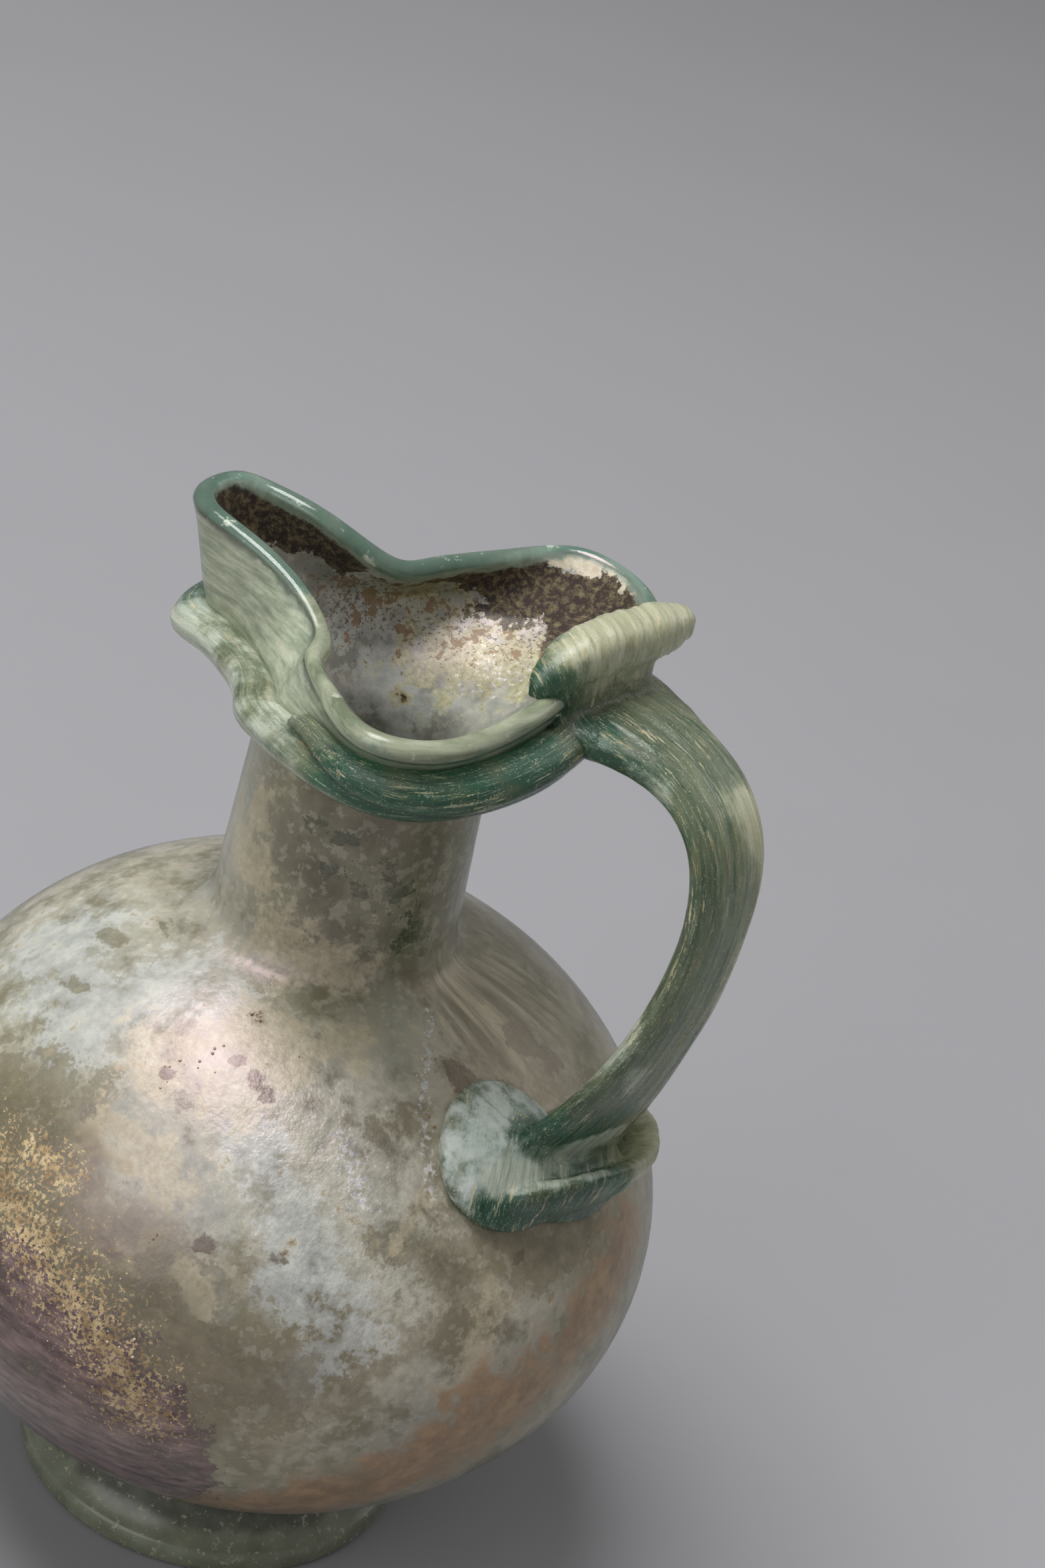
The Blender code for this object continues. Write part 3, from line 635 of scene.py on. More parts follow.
def claw_sections(jug):
    """Sections of the fin below the strap's end, with its middle line and the way across it."""
    shares = np.linspace(0.0, 1.0, CLAW_STEPS)
    crest = np.array([on_body(jug, math.radians(azimuth), math.radians(slope), GAP + lift * MM)
                      for azimuth, slope, lift in along_path(CLAW_CREST, shares)])
    foot = np.array([on_body(jug, math.radians(azimuth), math.radians(slope), -PAD_SINK)
                     for azimuth, slope in along_path(CLAW_FOOT, shares)])
    middles = (crest + foot) / 2
    sections, ways = [], []
    forwards = np.gradient(middles, axis=0)
    for middle, forward, tall, t in zip(middles, forwards, (crest - foot) / 2, shares):
        side = np.cross(forward, tall)
        side = side / np.linalg.norm(side)
        thick = CLAW_THICKNESS / 2 * math.sqrt(max(1.0 - (2 * t - 1) ** 6, 0.12))
        sections.append(superellipse(middle, thick * side, tall, FORM_SIDES))
        ways.append(side)
    return sections, middles, np.array(ways)


def fuse(obj, added, cut, grid):
    """Melts glass forms into one soft lump, cut clear of what it lies on, as a plain mesh."""
    lump = bmesh.new()
    for form in [obj] + added:
        lump.from_mesh(form.data)
    lump.to_mesh(obj.data)
    lump.free()
    steps = [None] + cut + ([None] if cut else [])
    for form in steps:
        modifier = obj.modifiers.new("melt", "BOOLEAN" if form else "REMESH")
        if form:
            modifier.object = form
            modifier.operation = "DIFFERENCE"
            modifier.solver = "EXACT"
        else:
            modifier.mode = "VOXEL"
            modifier.voxel_size = grid
            modifier.use_smooth_shade = True
    smooth = obj.modifiers.new("softened", "SMOOTH")
    smooth.factor = 0.5
    smooth.iterations = SOFTENING
    freeze(obj)
    for form in added + cut:
        bpy.data.objects.remove(form)


def freeze(obj):
    """Leaves what an object's modifiers make as its plain mesh."""
    bpy.context.view_layer.update()
    graph = bpy.context.evaluated_depsgraph_get()
    shown = obj.evaluated_get(graph)
    made = bpy.data.meshes.new_from_object(shown, preserve_all_data_layers=True, depsgraph=graph)
    obj.modifiers.clear()
    obj.data = made


def points_of(obj):
    """Vertices of an object as an array."""
    points = np.zeros(len(obj.data.vertices) * 3, np.float32)
    obj.data.vertices.foreach_get("co", points)
    return points.reshape(-1, 3).astype(float)


def store(obj, name, values):
    """Keeps a number or a vector at each vertex under a name that trees and materials read."""
    values = np.asarray(values, np.float32)
    kind = "FLOAT" if values.ndim == 1 else "FLOAT_VECTOR"
    attribute = obj.data.attributes.new(name, kind, "POINT")
    attribute.data.foreach_set("value" if values.ndim == 1 else "vector", values.ravel())


def near(points, trails):
    """How near each point is to some trails: 1 on one, 0.5 at its half width, 0 beyond its width.

    A trail is a half width and the places that it passes, all in millimetres.
    """
    field = np.zeros(len(points))
    for half_width, places in trails:
        places = np.asarray(places, float) * MM
        closest = np.linalg.norm(points - places[0], axis=1)
        for start, end in zip(places[:-1], places[1:]):
            step = end - start
            share = np.clip(((points - start) @ step) / (step @ step), 0.0, 1.0)
            closest = np.minimum(closest, np.linalg.norm(points - start - share[:, None] * step, axis=1))
        field = np.maximum(field, np.clip(1.0 - 0.5 * closest / (half_width * MM), 0.0, 1.0))
    return field


def drawn_grain(points, lines):
    """Where each point lies across, along and through the nearest drawn line, in metres.

    On a line that was crimped with pincers the first two change places, with a slight slant.
    """
    best = np.full(len(points), np.inf)
    grain = np.zeros((len(points), 3))
    for middles, ways, crimped in lines:
        ahead = unit(np.gradient(middles, axis=0))
        through = np.cross(ways, ahead)
        run = run_along(middles)
        squares = (points**2).sum(1)[:, None] + (middles**2).sum(1)[None] - 2.0 * points @ middles.T
        nearest = squares.argmin(1)
        away = points - middles[nearest]
        across = (away * ways[nearest]).sum(1)
        along = run[nearest] + (away * ahead[nearest]).sum(1)
        deep = (away * through[nearest]).sum(1)
        if crimped:
            across, along, deep = along + CRIMP_SLANT * across, across, CRIMP_DEPTH * deep
        distance = np.linalg.norm(away, axis=1)
        closer = distance < best
        grain[closer] = np.stack([across, along, deep], axis=1)[closer]
        best = np.minimum(best, distance)
    return grain


def plug(node, inputs):
    """Fills a node's inputs. Each takes a value, an output, or a node whose first output is meant."""
    for socket, value in dict(inputs).items():
        if isinstance(value, bpy.types.Node):
            value = next(output for output in value.outputs if output.enabled)
        if isinstance(value, bpy.types.NodeSocket):
            node.id_data.links.new(value, node.inputs[socket])
        else:
            node.inputs[socket].default_value = value


def add_node(tree, kind, inputs=(), **settings):
    """Adds one node with its settings and its inputs."""
    node = tree.nodes.new(kind)
    for field, value in settings.items():
        setattr(node, field, value)
    plug(node, inputs)
    return node


def new_tree(name, sizes):
    """Geometry Nodes tree with named inputs, and what its group input gives."""
    tree = bpy.data.node_groups.new(name, "GeometryNodeTree")
    tree.is_modifier = True
    tree.interface.new_socket("Geometry", in_out="INPUT", socket_type="NodeSocketGeometry")
    tree.interface.new_socket("Geometry", in_out="OUTPUT", socket_type="NodeSocketGeometry")
    for label, value in sizes:
        kind = "NodeSocketInt" if isinstance(value, int) else "NodeSocketFloat"
        tree.interface.new_socket(label, in_out="INPUT", socket_type=kind).default_value = value
    tree.interface.new_socket("Material", in_out="INPUT", socket_type="NodeSocketMaterial")
    return tree, tree.nodes.new("NodeGroupInput").outputs


def end_tree(tree, given, shape):
    """Ends a tree: what it made becomes real and takes the material."""
    real = add_node(tree, "GeometryNodeRealizeInstances", {0: shape})
    done = add_node(tree, "GeometryNodeSetMaterial", {"Geometry": real, "Material": given["Material"]})
    add_node(tree, "NodeGroupOutput", {0: done})


def end_moved(tree, given, distance):
    """Ends a tree that moves each point along its normal by a distance."""
    normal = add_node(tree, "GeometryNodeInputNormal")
    offset = add_node(tree, "ShaderNodeVectorMath", {0: normal, "Scale": distance}, operation="SCALE")
    moved = add_node(tree, "GeometryNodeSetPosition", {"Geometry": given["Geometry"], "Offset": offset})
    end_tree(tree, given, moved)


def grow(obj, tree, material, **values):
    """Runs a tree on an object with its inputs set, and leaves the result as a plain mesh."""
    modifier = obj.modifiers.new(tree.name, "NODES")
    modifier.node_group = tree
    values = {label.replace("_", " ").title(): value for label, value in values.items()}
    for item in tree.interface.items_tree:
        if item.in_out == "INPUT" and item.name == "Material":
            modifier[item.identifier] = material
        elif item.in_out == "INPUT" and item.name in values:
            modifier[item.identifier] = values[item.name]
    freeze(obj)


def weathered_skin_tree():
    """Tree that sinks pits and ripples into blown glass and raises its sandy crust."""
    tree, given = new_tree("Weathered Skin", [("Skin", 0.0001), ("Pit Depth", 0.0001), ("Pit Size", 0.001),
                                              ("Crust Height", 0.0001), ("Ripple", 0.0001), ("Seed", 7)])
    place = add_node(tree, "GeometryNodeInputPosition")
    marks = {name: add_node(tree, "GeometryNodeInputNamedAttribute", {"Name": name}, data_type="FLOAT")
             for name in ("gold", "pitted", "bare")}
    shift = add_node(tree, "ShaderNodeVectorMath", {0: place, 1: given["Seed"]}, operation="ADD")
    # Pits, deepest in the pitted patches
    per_pit = add_node(tree, "ShaderNodeMath", {0: 1.0, 1: given["Pit Size"]}, operation="DIVIDE")
    pits = add_node(tree, "ShaderNodeTexNoise", {"Vector": shift, "Scale": per_pit, "Detail": 2.0})
    deep = add_node(tree, "ShaderNodeMapRange", {0: pits, 1: 0.5, 2: 0.72}, interpolation_type="SMOOTHSTEP")
    deep = add_node(tree, "ShaderNodeMath", {0: deep, 1: given["Pit Depth"]}, operation="MULTIPLY")
    amount = add_node(tree, "ShaderNodeMath", {0: marks["pitted"], 1: 0.35}, operation="ADD")
    deep = add_node(tree, "ShaderNodeMath", {0: deep, 1: amount}, operation="MULTIPLY")
    # Crust, only where the gold dust lies
    patchy = add_node(tree, "ShaderNodeTexNoise",
                      {"Vector": shift, "Scale": CRUST_PER_METRE, "Detail": 6.0, "Roughness": 0.62})
    sandy = add_node(tree, "ShaderNodeMath", {0: patchy, 1: marks["gold"]}, operation="ADD")
    sandy = add_node(tree, "ShaderNodeMapRange", {0: sandy, 1: 0.9, 2: 1.15},
                     interpolation_type="SMOOTHSTEP")
    sandy = add_node(tree, "ShaderNodeMath", {0: sandy, 1: given["Crust Height"]}, operation="MULTIPLY")
    # Broad ripples of the blown wall
    swell = add_node(tree, "ShaderNodeTexNoise",
                     {"Vector": shift, "Scale": RIPPLES_PER_METRE, "Detail": 1.0})
    swell = add_node(tree, "ShaderNodeMath", {0: swell, 1: given["Ripple"]}, operation="MULTIPLY")
    low = add_node(tree, "ShaderNodeMath", {0: given["Skin"], 1: swell}, operation="ADD")
    low = add_node(tree, "ShaderNodeMath", {0: low, 1: deep}, operation="ADD")
    rise = add_node(tree, "ShaderNodeMath", {0: sandy, 1: low}, operation="SUBTRACT")
    cover = add_node(tree, "ShaderNodeMath", {0: 1.0, 1: marks["bare"]}, operation="SUBTRACT")
    rise = add_node(tree, "ShaderNodeMath", {0: rise, 1: cover}, operation="MULTIPLY")
    end_moved(tree, given, rise)
    return tree


def drawn_ribs_tree():
    """Tree that presses ribs along drawn glass, which follow its grain."""
    tree, given = new_tree("Drawn Ribs", [("Rib Depth", 0.0001), ("Rib Spacing", 0.001),
                                          ("Stretch", 0.05), ("Seed", 3)])
    grain = add_node(tree, "GeometryNodeInputNamedAttribute", {"Name": "grain"}, data_type="FLOAT_VECTOR")
    squeeze = add_node(tree, "ShaderNodeCombineXYZ", {0: 1.0, 1: given["Stretch"], 2: 1.0})
    vector = add_node(tree, "ShaderNodeVectorMath", {0: grain, 1: squeeze}, operation="MULTIPLY")
    vector = add_node(tree, "ShaderNodeVectorMath", {0: vector, 1: given["Seed"]}, operation="ADD")
    per_rib = add_node(tree, "ShaderNodeMath", {0: 1.0, 1: given["Rib Spacing"]}, operation="DIVIDE")
    ribs = add_node(tree, "ShaderNodeTexNoise",
                    {"Vector": vector, "Scale": per_rib, "Detail": 2.0, "Roughness": 0.55})
    ribs = add_node(tree, "ShaderNodeMapRange", {0: ribs, 1: 0.3, 2: 0.7, 3: -1.0, 4: 0.0})
    drawn = add_node(tree, "GeometryNodeInputNamedAttribute", {"Name": "drawn"}, data_type="FLOAT")
    ribs = add_node(tree, "ShaderNodeMath", {0: ribs, 1: drawn}, operation="MULTIPLY")
    depth = add_node(tree, "ShaderNodeMath", {0: ribs, 1: given["Rib Depth"]}, operation="MULTIPLY")
    end_moved(tree, given, depth)
    return tree


def sand_grains_tree():
    """Tree that strews grains of sand over a skin where its sandy mark is strong."""
    tree, given = new_tree("Burial Sand", [("Grain Size", 0.0004), ("Density", 400000.0), ("Seed", 11)])
    mark = add_node(tree, "GeometryNodeInputNamedAttribute", {"Name": "grit"}, data_type="FLOAT")
    spread = add_node(tree, "GeometryNodeDistributePointsOnFaces",
                      {"Mesh": given["Geometry"], "Distance Min": given["Grain Size"],
                       "Density Max": given["Density"], "Density Factor": mark, "Seed": given["Seed"]},
                      distribute_method="POISSON")
    grain = add_node(tree, "GeometryNodeMeshIcoSphere", {"Radius": 0.5, "Subdivisions": 1})
    turn = add_node(tree, "FunctionNodeRandomValue",
                    {0: (-3.1, -3.1, -3.1), 1: (3.1, 3.1, 3.1), "Seed": given["Seed"]},
                    data_type="FLOAT_VECTOR")
    size = add_node(tree, "FunctionNodeRandomValue", {2: 0.3, 3: 0.9, "Seed": given["Seed"]},
                    data_type="FLOAT")
    size = add_node(tree, "ShaderNodeMath", {0: size, 1: given["Grain Size"]}, operation="MULTIPLY")
    strewn = add_node(tree, "GeometryNodeInstanceOnPoints",
                      {"Points": spread.outputs["Points"], "Instance": grain.outputs["Mesh"],
                       "Rotation": turn, "Scale": size})
    end_tree(tree, given, strewn)
    return tree


def new_material(name):
    """Material with one Principled shader, its tree, the shader, and Object coordinates."""
    material = bpy.data.materials.new(name)
    material.use_nodes = True
    tree = material.node_tree
    tree.nodes.clear()
    shader = add_node(tree, "ShaderNodeBsdfPrincipled")
    add_node(tree, "ShaderNodeOutputMaterial", {"Surface": shader})
    place = add_node(tree, "ShaderNodeTexCoord").outputs["Object"]
    return material, tree, shader, place


def noise(tree, place, size, detail=4.0, rough=0.6, stretch=(1.0, 1.0, 1.0)):
    """Cloudy pattern whose features are about size millimetres wide, squeezed along the axes."""
    mapped = add_node(tree, "ShaderNodeMapping", {"Vector": place, "Scale": stretch})
    return add_node(tree, "ShaderNodeTexNoise", {"Vector": mapped, "Scale": 1.0 / (size * MM),
                                                 "Detail": detail, "Roughness": rough}).outputs["Fac"]


def solid(tone):
    """Opaque colour from an sRGB hex value or from one of the panel's colours."""
    return (*(from_hex(tone) if isinstance(tone, str) else tone), 1.0)


def two_tone(tree, pattern, low, high, start, end):
    """Colour that runs from one tone to another while a pattern runs from start to end."""
    ramp = add_node(tree, "ShaderNodeValToRGB", {0: pattern})
    for element, position, tone in zip(ramp.color_ramp.elements, (start, end), (low, high)):
        element.position = position
        element.color = solid(tone)
    return ramp.outputs[0]


def ragged(tree, field, pattern, share, level, soft, most):
    """Mask of a stored mark whose edge a pattern makes ragged, by a share of the mark's width."""
    shift = add_node(tree, "ShaderNodeMath", {0: pattern, 1: 0.5}, operation="SUBTRACT")
    edge = add_node(tree, "ShaderNodeMath", {0: shift, 1: share, 2: field}, operation="MULTIPLY_ADD")
    return add_node(tree, "ShaderNodeMapRange", {0: edge, 1: level - soft, 2: level + soft, 4: most},
                    interpolation_type="SMOOTHSTEP")


def layered(tree, look, finish, patterns, layers):
    """Lays layers over a finish, which is a colour, a roughness and a clearness.

    A layer is its mark, or everywhere; the pattern that makes its edge ragged and by how much, where
    the edge lies, how soft it is and how much it covers; the pattern of its tones, the two tones and
    where they start and end; its roughness; and its clearness. A tone is a hex value or the name of
    one of the panel's colours.
    """
    kinds = (("RGBA", 6, 7), ("FLOAT", 2, 3), ("FLOAT", 2, 3))
    for mark, edge, share, level, soft, most, pattern, low, high, start, end, rough, clear in layers:
        field = 0.5
        if mark != "everywhere":
            field = add_node(tree, "ShaderNodeAttribute", attribute_name=mark).outputs["Fac"]
        cover = ragged(tree, field, patterns[edge], share, level, soft, most)
        low, high = getattr(look, low, low), getattr(look, high, high)
        laid = (two_tone(tree, patterns[pattern], low, high, start, end), rough, clear)
        finish = [add_node(tree, "ShaderNodeMix", {0: cover, first: below, second: above}, data_type=kind)
                  for (kind, first, second), below, above in zip(kinds, finish, laid)]
    return finish


def wear(shader, finish, bump):
    """Gives a shader its finish, its bump and the refraction of soda glass."""
    colour, rough, clear = finish
    plug(shader, {"Base Color": colour, "Roughness": rough, "Transmission Weight": clear, "Normal": bump,
                  "IOR": GLASS_IOR})


def weathered_glass(look):
    """Free-blown natural glass, weathered: stained olive glass under a milky, flaking film.

    The eye gets depth from the windows, silver from the film and a dry touch from the sand.
    """
    material, tree, shader, place = new_material("Free-blown weathered glass")
    flow = add_node(tree, "ShaderNodeAttribute", attribute_name="flow").outputs["Vector"]
    # The real dust and glints are finer than 0.2 mm. They are drawn at 0.4 mm and more, to show; the glints
    # are painted
    patterns = {
        "broad": noise(tree, place, 9.0, 3.0),
        "lobes": noise(tree, place, 4.5, 9.0, 0.56),
        "mottle": noise(tree, place, 1.8, 9.0, 0.66),
        "flake": noise(tree, place, 1.1, 5.0),
        "speck": noise(tree, place, 0.6, 5.0, 0.72),
        "dust": noise(tree, place, 0.4, 4.0, 0.7),
        "streak": noise(tree, flow, 1.4, 6.0),
        "silky": noise(tree, flow, 0.6, 6.0, 0.65, SILKY_STRETCH),
        "fibre": noise(tree, place, 1.0, 5.0, 0.6, (0.3, 0.9, 1.0)),
    }
    # Lobes broken up by finer patterns, so that no edge is cleaner than the real, crumbling ones
    crumbly = patterns["lobes"]
    for finer, amount in (("mottle", 0.75), ("speck", 0.35)):
        crumbly = add_node(tree, "ShaderNodeMath", {0: patterns[finer], 1: amount, 2: crumbly},
                           operation="MULTIPLY_ADD")
    patterns["crumbly"] = add_node(tree, "ShaderNodeMath", {0: crumbly, 1: 0.55}, operation="SUBTRACT")

    layers = (
        ("inside", "lobes", 0.3, 0.50, 0.05, 1.0, "lobes", "#8d9087", "#b2b4a9", 0.38, 0.62, 0.36, 0.12),
        ("film", "crumbly", 2.0, 0.40, 0.26, 0.9, "broad", "#a2a499", "film", 0.42, 0.58, 0.30, 0.05),
        ("pitted", "crumbly", 1.8, 0.45, 0.20, 0.7, "mottle", "#a8a797", "#cdcaba", 0.38, 0.62, 0.32, 0.05),
        # Darker olive on the neck's right: partly stained glass, partly painted shade away from the key
        # lamp
        ("neck", "crumbly", 1.0, 0.42, 0.34, 0.85, "lobes", "#727459", "#8d8e72", 0.36, 0.64, 0.22, 0.35),
        ("everywhere", "flake", 1.0, 0.55, 0.02, 0.35, "speck", "#b9b9aa", "#cac5b1", 0.4, 0.6, 0.28, 0.05),
        ("blue", "crumbly", 2.4, 0.55, 0.08, 0.65, "mottle", "#a4a9a7", "#bec2bd", 0.4, 0.6, 0.27, 0.0),
        ("window", "crumbly", 2.2, 0.55, 0.14, 0.7, "mottle", "#6e6a54", "#8b8568", 0.36, 0.62, 0.22, 0.3),
        ("tan", "crumbly", 2.4, 0.52, 0.20, 0.6, "speck", "#aa9f82", "#c0b69b", 0.4, 0.6, 0.45, 0.0),
        ("green", "mottle", 3.4, 0.84, 0.03, 0.8, "speck", "#47573f", "#66725a", 0.4, 0.6, 0.12, 0.4),
        ("fan", "crumbly", 1.8, 0.50, 0.20, 0.75, "streak", "#6c6a55", "#cbc3aa", 0.4, 0.62, 0.38, 0.1),
        ("silk", "crumbly", 1.0, 0.35, 0.10, 1.0, "silky", "#81917a", "#c6ccb4", 0.35, 0.65, 0.24, 0.22),
        # Coppery film low on the body, partly a painted reflection of warm skin colour
        ("copper_and_reflection", "crumbly", 1.6, 0.50, 0.25, 0.85, "mottle", "#835e3e", "copper_and_reflection", 0.36, 0.62, 0.3, 0.15),
        ("gold", "crumbly", 1.2, 0.40, 0.20, 0.75, "mottle", "#615c47", "#807a60", 0.36, 0.62, 0.3, 0.2),
        ("violet", "crumbly", 1.0, 0.46, 0.05, 0.85, "speck", "#3a3637", "#4b4344", 0.4, 0.6, 0.25, 0.0),
        ("violet", "crumbly", 1.2, 0.56, 0.14, 1.0, "fibre", "#46373c", "violet", 0.36, 0.68, 0.26, 0.05),
        ("gold", "dust", 2.8, 0.90, 0.06, 1.0, "mottle", "#93794f", "gold", 0.4, 0.6, 0.75, 0.0),
        ("moss", "mottle", 2.6, 0.60, 0.14, 0.7, "speck", "#8c8a5e", "#bdb98c", 0.36, 0.64, 0.45, 0.0),
        ("rust", "mottle", 3.4, 0.98, 0.06, 0.8, "dust", "#5d4425", "#8d6c42", 0.4, 0.6, 0.7, 0.0),
        ("rust", "dust", 3.4, 1.02, 0.06, 0.8, "mottle", "#3d3420", "#7a6a48", 0.4, 0.6, 0.7, 0.0),
        ("cream", "mottle", 1.6, 0.50, 0.06, 1.0, "speck", "#bdb69c", "#d3cdb6", 0.4, 0.6, 0.6, 0.0),
        ("dark", "crumbly", 1.4, 0.42, 0.03, 1.0, "speck", "#201f12", "crust", 0.46, 0.7, 0.85, 0.0),
        ("spot", "mottle", 2.0, 0.50, 0.10, 0.8, "speck", "#544c3d", "#6c6350", 0.4, 0.6, 0.3, 0.1),
        # Painted glints: bluish-white specks of colour that stand in for light glinting off iridescent
        # flakes
        ("painted_glint", "speck", 3.0, 1.00, 0.08, 0.6, "dust", "#adb9d0", "#efe9e6", 0.42, 0.54, 0.2, 0.0),
        ("bare", "mottle", 0.6, 0.50, 0.12, 1.0, "mottle", "clear", "clear", 0.4, 0.6, 0.08, 0.9),
    )
    stained = (two_tone(tree, patterns["lobes"], "#8e8970", look.stain, 0.4, 0.6), 0.33, 0.15)
    colour, rough, clear = layered(tree, look, stained, patterns, layers)
    # Fine unevenness of tone over everything
    tone = add_node(tree, "ShaderNodeMapRange", {0: patterns["crumbly"], 1: 0.3, 2: 0.7, 3: 0.86, 4: 1.14})
    colour = add_node(tree, "ShaderNodeVectorMath", {0: colour, "Scale": tone}, operation="SCALE")

    # The skin is sandy to the eye: blisters where it is pitted, and a fine sparkle all over
    pitted = add_node(tree, "ShaderNodeAttribute", attribute_name="pitted").outputs["Fac"]
    blisters = noise(tree, place, 0.45, 3.0, 0.55, (1.0, 1.0, 0.7))
    strength = add_node(tree, "ShaderNodeMath", {0: pitted, 1: 1.6, 2: 0.35}, operation="MULTIPLY_ADD")
    blisters = add_node(tree, "ShaderNodeMath", {0: blisters, 1: strength}, operation="MULTIPLY")
    relief = add_node(tree, "ShaderNodeMath", {0: patterns["mottle"], 1: 0.7, 2: blisters},
                      operation="MULTIPLY_ADD")
    bump = add_node(tree, "ShaderNodeBump", {"Strength": 0.55, "Distance": 0.16 * MM, "Height": relief})
    wear(shader, (colour, rough, clear), bump)
    # The crust inside the mouth is the one place with no sheen of film over it
    dark = add_node(tree, "ShaderNodeAttribute", attribute_name="dark").outputs["Fac"]
    sheen = add_node(tree, "ShaderNodeMapRange", {0: dark, 1: 0.4, 2: 0.5, 3: 0.35, 4: 0.0})
    plug(shader, {"Thin Film Thickness": FILM_THICKNESS, "Thin Film IOR": FILM_IOR,
                  "Coat Weight": sheen, "Coat Roughness": 0.34})
    return material


def lip_glass(look):
    """Fire-polished natural glass of the lip: clear bottle green, wet and smooth to the eye."""
    material, tree, shader, place = new_material("Fire-polished lip glass")
    flow = add_node(tree, "ShaderNodeAttribute", attribute_name="flow").outputs["Vector"]
    patterns = {
        "mottle": noise(tree, place, 2.2, 9.0, 0.66),
        "silky": noise(tree, flow, 0.6, 6.0, 0.65, SILKY_STRETCH),
    }
    layers = (
        ("silk", "mottle", 1.0, 0.50, 0.15, 1.0, "silky", "#788468", "#b9bfa4", 0.35, 0.65, 0.24, 0.3),
        ("everywhere", "mottle", 1.0, 0.63, 0.04, 1.0, "mottle", "#c2c8b6", "#c2c8b6", 0.4, 0.6, 0.35, 0.2),
    )
    polished = (two_tone(tree, noise(tree, place, 8.0), "#84ae9b", look.lip, 0.4, 0.6), 0.08, 0.75)
    bump = add_node(tree, "ShaderNodeBump",
                    {"Strength": 0.25, "Distance": 0.1 * MM, "Height": patterns["mottle"]})
    wear(shader, layered(tree, look, polished, patterns, layers), bump)
    return material


def drawn_glass(name, look, clear):
    """Drawn blue-green glass, silky along its pull, with pale and rusty streaks and fine sparkle.

    The eye gets the pull of the hot glass from the streaks, and its thickness from the deeper green.
    """
    material, tree, shader, place = new_material(name)
    grain = add_node(tree, "ShaderNodeAttribute", attribute_name="grain").outputs["Vector"]
    # The finest real lines and specks are under 0.1 mm. They are drawn coarser, to show
    patterns = {
        "cloud": noise(tree, place, 5.0, 5.0),
        "mottle": noise(tree, place, 1.8, 7.0, 0.62),
        "wash": noise(tree, grain, 2.4, 6.0, 0.6, (1.0, 0.22, 1.0)),
        "silk": noise(tree, grain, 0.5, 9.0, 0.74, (1.0, 0.05, 1.0)),
        "hair": noise(tree, grain, 0.14, 4.0, 0.7, (1.0, 0.05, 1.0)),
        "streak": noise(tree, grain, 0.6, 8.0, 0.75, (1.0, 0.12, 1.0)),
        "speck": noise(tree, place, 0.22, 3.0, 0.7),
    }
    layers = (
        ("everywhere", "wash", 1.0, 0.52, 0.10, 0.8, "silk", "#7d8863", "#c0c39c", 0.34, 0.66, 0.2, clear),
        # Paler olive where drawn glass is slender, lightened further as painted light on the thumb rest and
        # the strap's edges
        ("thin_and_lit", "cloud", 1.2, 0.45, 0.20, 0.9, "silk", "#aeb083", "#eeecd0", 0.33, 0.64, 0.25, 0.35),
        ("pad", "mottle", 1.1, 0.38, 0.24, 0.88, "mottle", "#a9c0b6", "#eff7f3", 0.32, 0.64, 0.22, 0.2),
        ("deep", "cloud", 1.4, 0.45, 0.18, 0.95, "silk", "#1b5a40", "deep", 0.35, 0.70, 0.14, clear),
        ("pale", "cloud", 1.3, 0.46, 0.16, 0.85, "silk", "#8fa08b", "#e4e8da", 0.34, 0.62, 0.28, 0.2),
        ("everywhere", "hair", 1.0, 0.59, 0.06, 0.45, "cloud", "#c2c9ab", "#e6e7d4", 0.4, 0.6, 0.25, 0.2),
        ("everywhere", "streak", 1.0, 0.595, 0.03, 0.75,
         "cloud", "#9a8660", "#d4c9a4", 0.4, 0.6, 0.45, 0.0),
        ("everywhere", "speck", 1.0, 0.66, 0.03, 0.7, "cloud", "#c8b88e", "#e4e2cf", 0.4, 0.6, 0.4, 0.1),
    )
    plain = (two_tone(tree, patterns["silk"], "#35594a", look.drawn, 0.36, 0.66), 0.18, clear)
    bump = add_node(tree, "ShaderNodeBump",
                    {"Strength": 0.55, "Distance": 0.10 * MM, "Height": patterns["silk"]})
    bump = add_node(tree, "ShaderNodeBump",
                    {"Strength": 0.6, "Distance": 0.05 * MM, "Height": patterns["hair"], "Normal": bump})
    wear(shader, layered(tree, look, plain, patterns, layers), bump)
    # Deeper glass looks greener, because it takes light out along the way through it
    depth = add_node(tree, "ShaderNodeVolumeAbsorption",
                     {"Color": solid(GREEN_LEFT), "Density": GREEN_DENSITY})
    plug(next(node for node in tree.nodes if node.type == "OUTPUT_MATERIAL"), {"Volume": depth})
    return material


def pressed_glass(look):
    """Pressed foot glass: softly cloudy grey-green, darkened as painted shade, with a lighter rim where it
    thins.
    """
    material, tree, shader, place = new_material("Applied foot glass")
    patterns = {"cloud": noise(tree, place, 3.5, 7.0), "fleck": noise(tree, place, 0.7, 4.0, 0.7)}
    layers = (
        ("rim", "cloud", 1.0, 0.50, 0.20, 0.9, "cloud", "#969d85", "#b1b89f", 0.36, 0.64, 0.22, 0.5),
        ("everywhere", "fleck", 1.0, 0.62, 0.04, 0.7, "fleck", "#b9b399", "#b9b399", 0.4, 0.6, 0.5, 0.0),
    )
    # The foot's own grey-green, darkened and browned as painted shade
    pressed = (two_tone(tree, patterns["cloud"], "#66695a", look.foot, 0.36, 0.64), 0.26, 0.5)
    bump = add_node(tree, "ShaderNodeBump",
                    {"Strength": 0.4, "Distance": 0.12 * MM, "Height": patterns["cloud"]})
    wear(shader, layered(tree, look, pressed, patterns, layers), bump)
    return material


def sand_material(look):
    """Grains of burial sand: dry and matt to the eye, cream to rust, each a little different."""
    material, tree, shader, place = new_material("Burial sand grains")
    tones = two_tone(tree, noise(tree, place, 0.7, 2.0), "#8a6f4c", look.sand, 0.35, 0.65)
    plug(shader, {"Base Color": tones, "Roughness": 0.7})
    return material


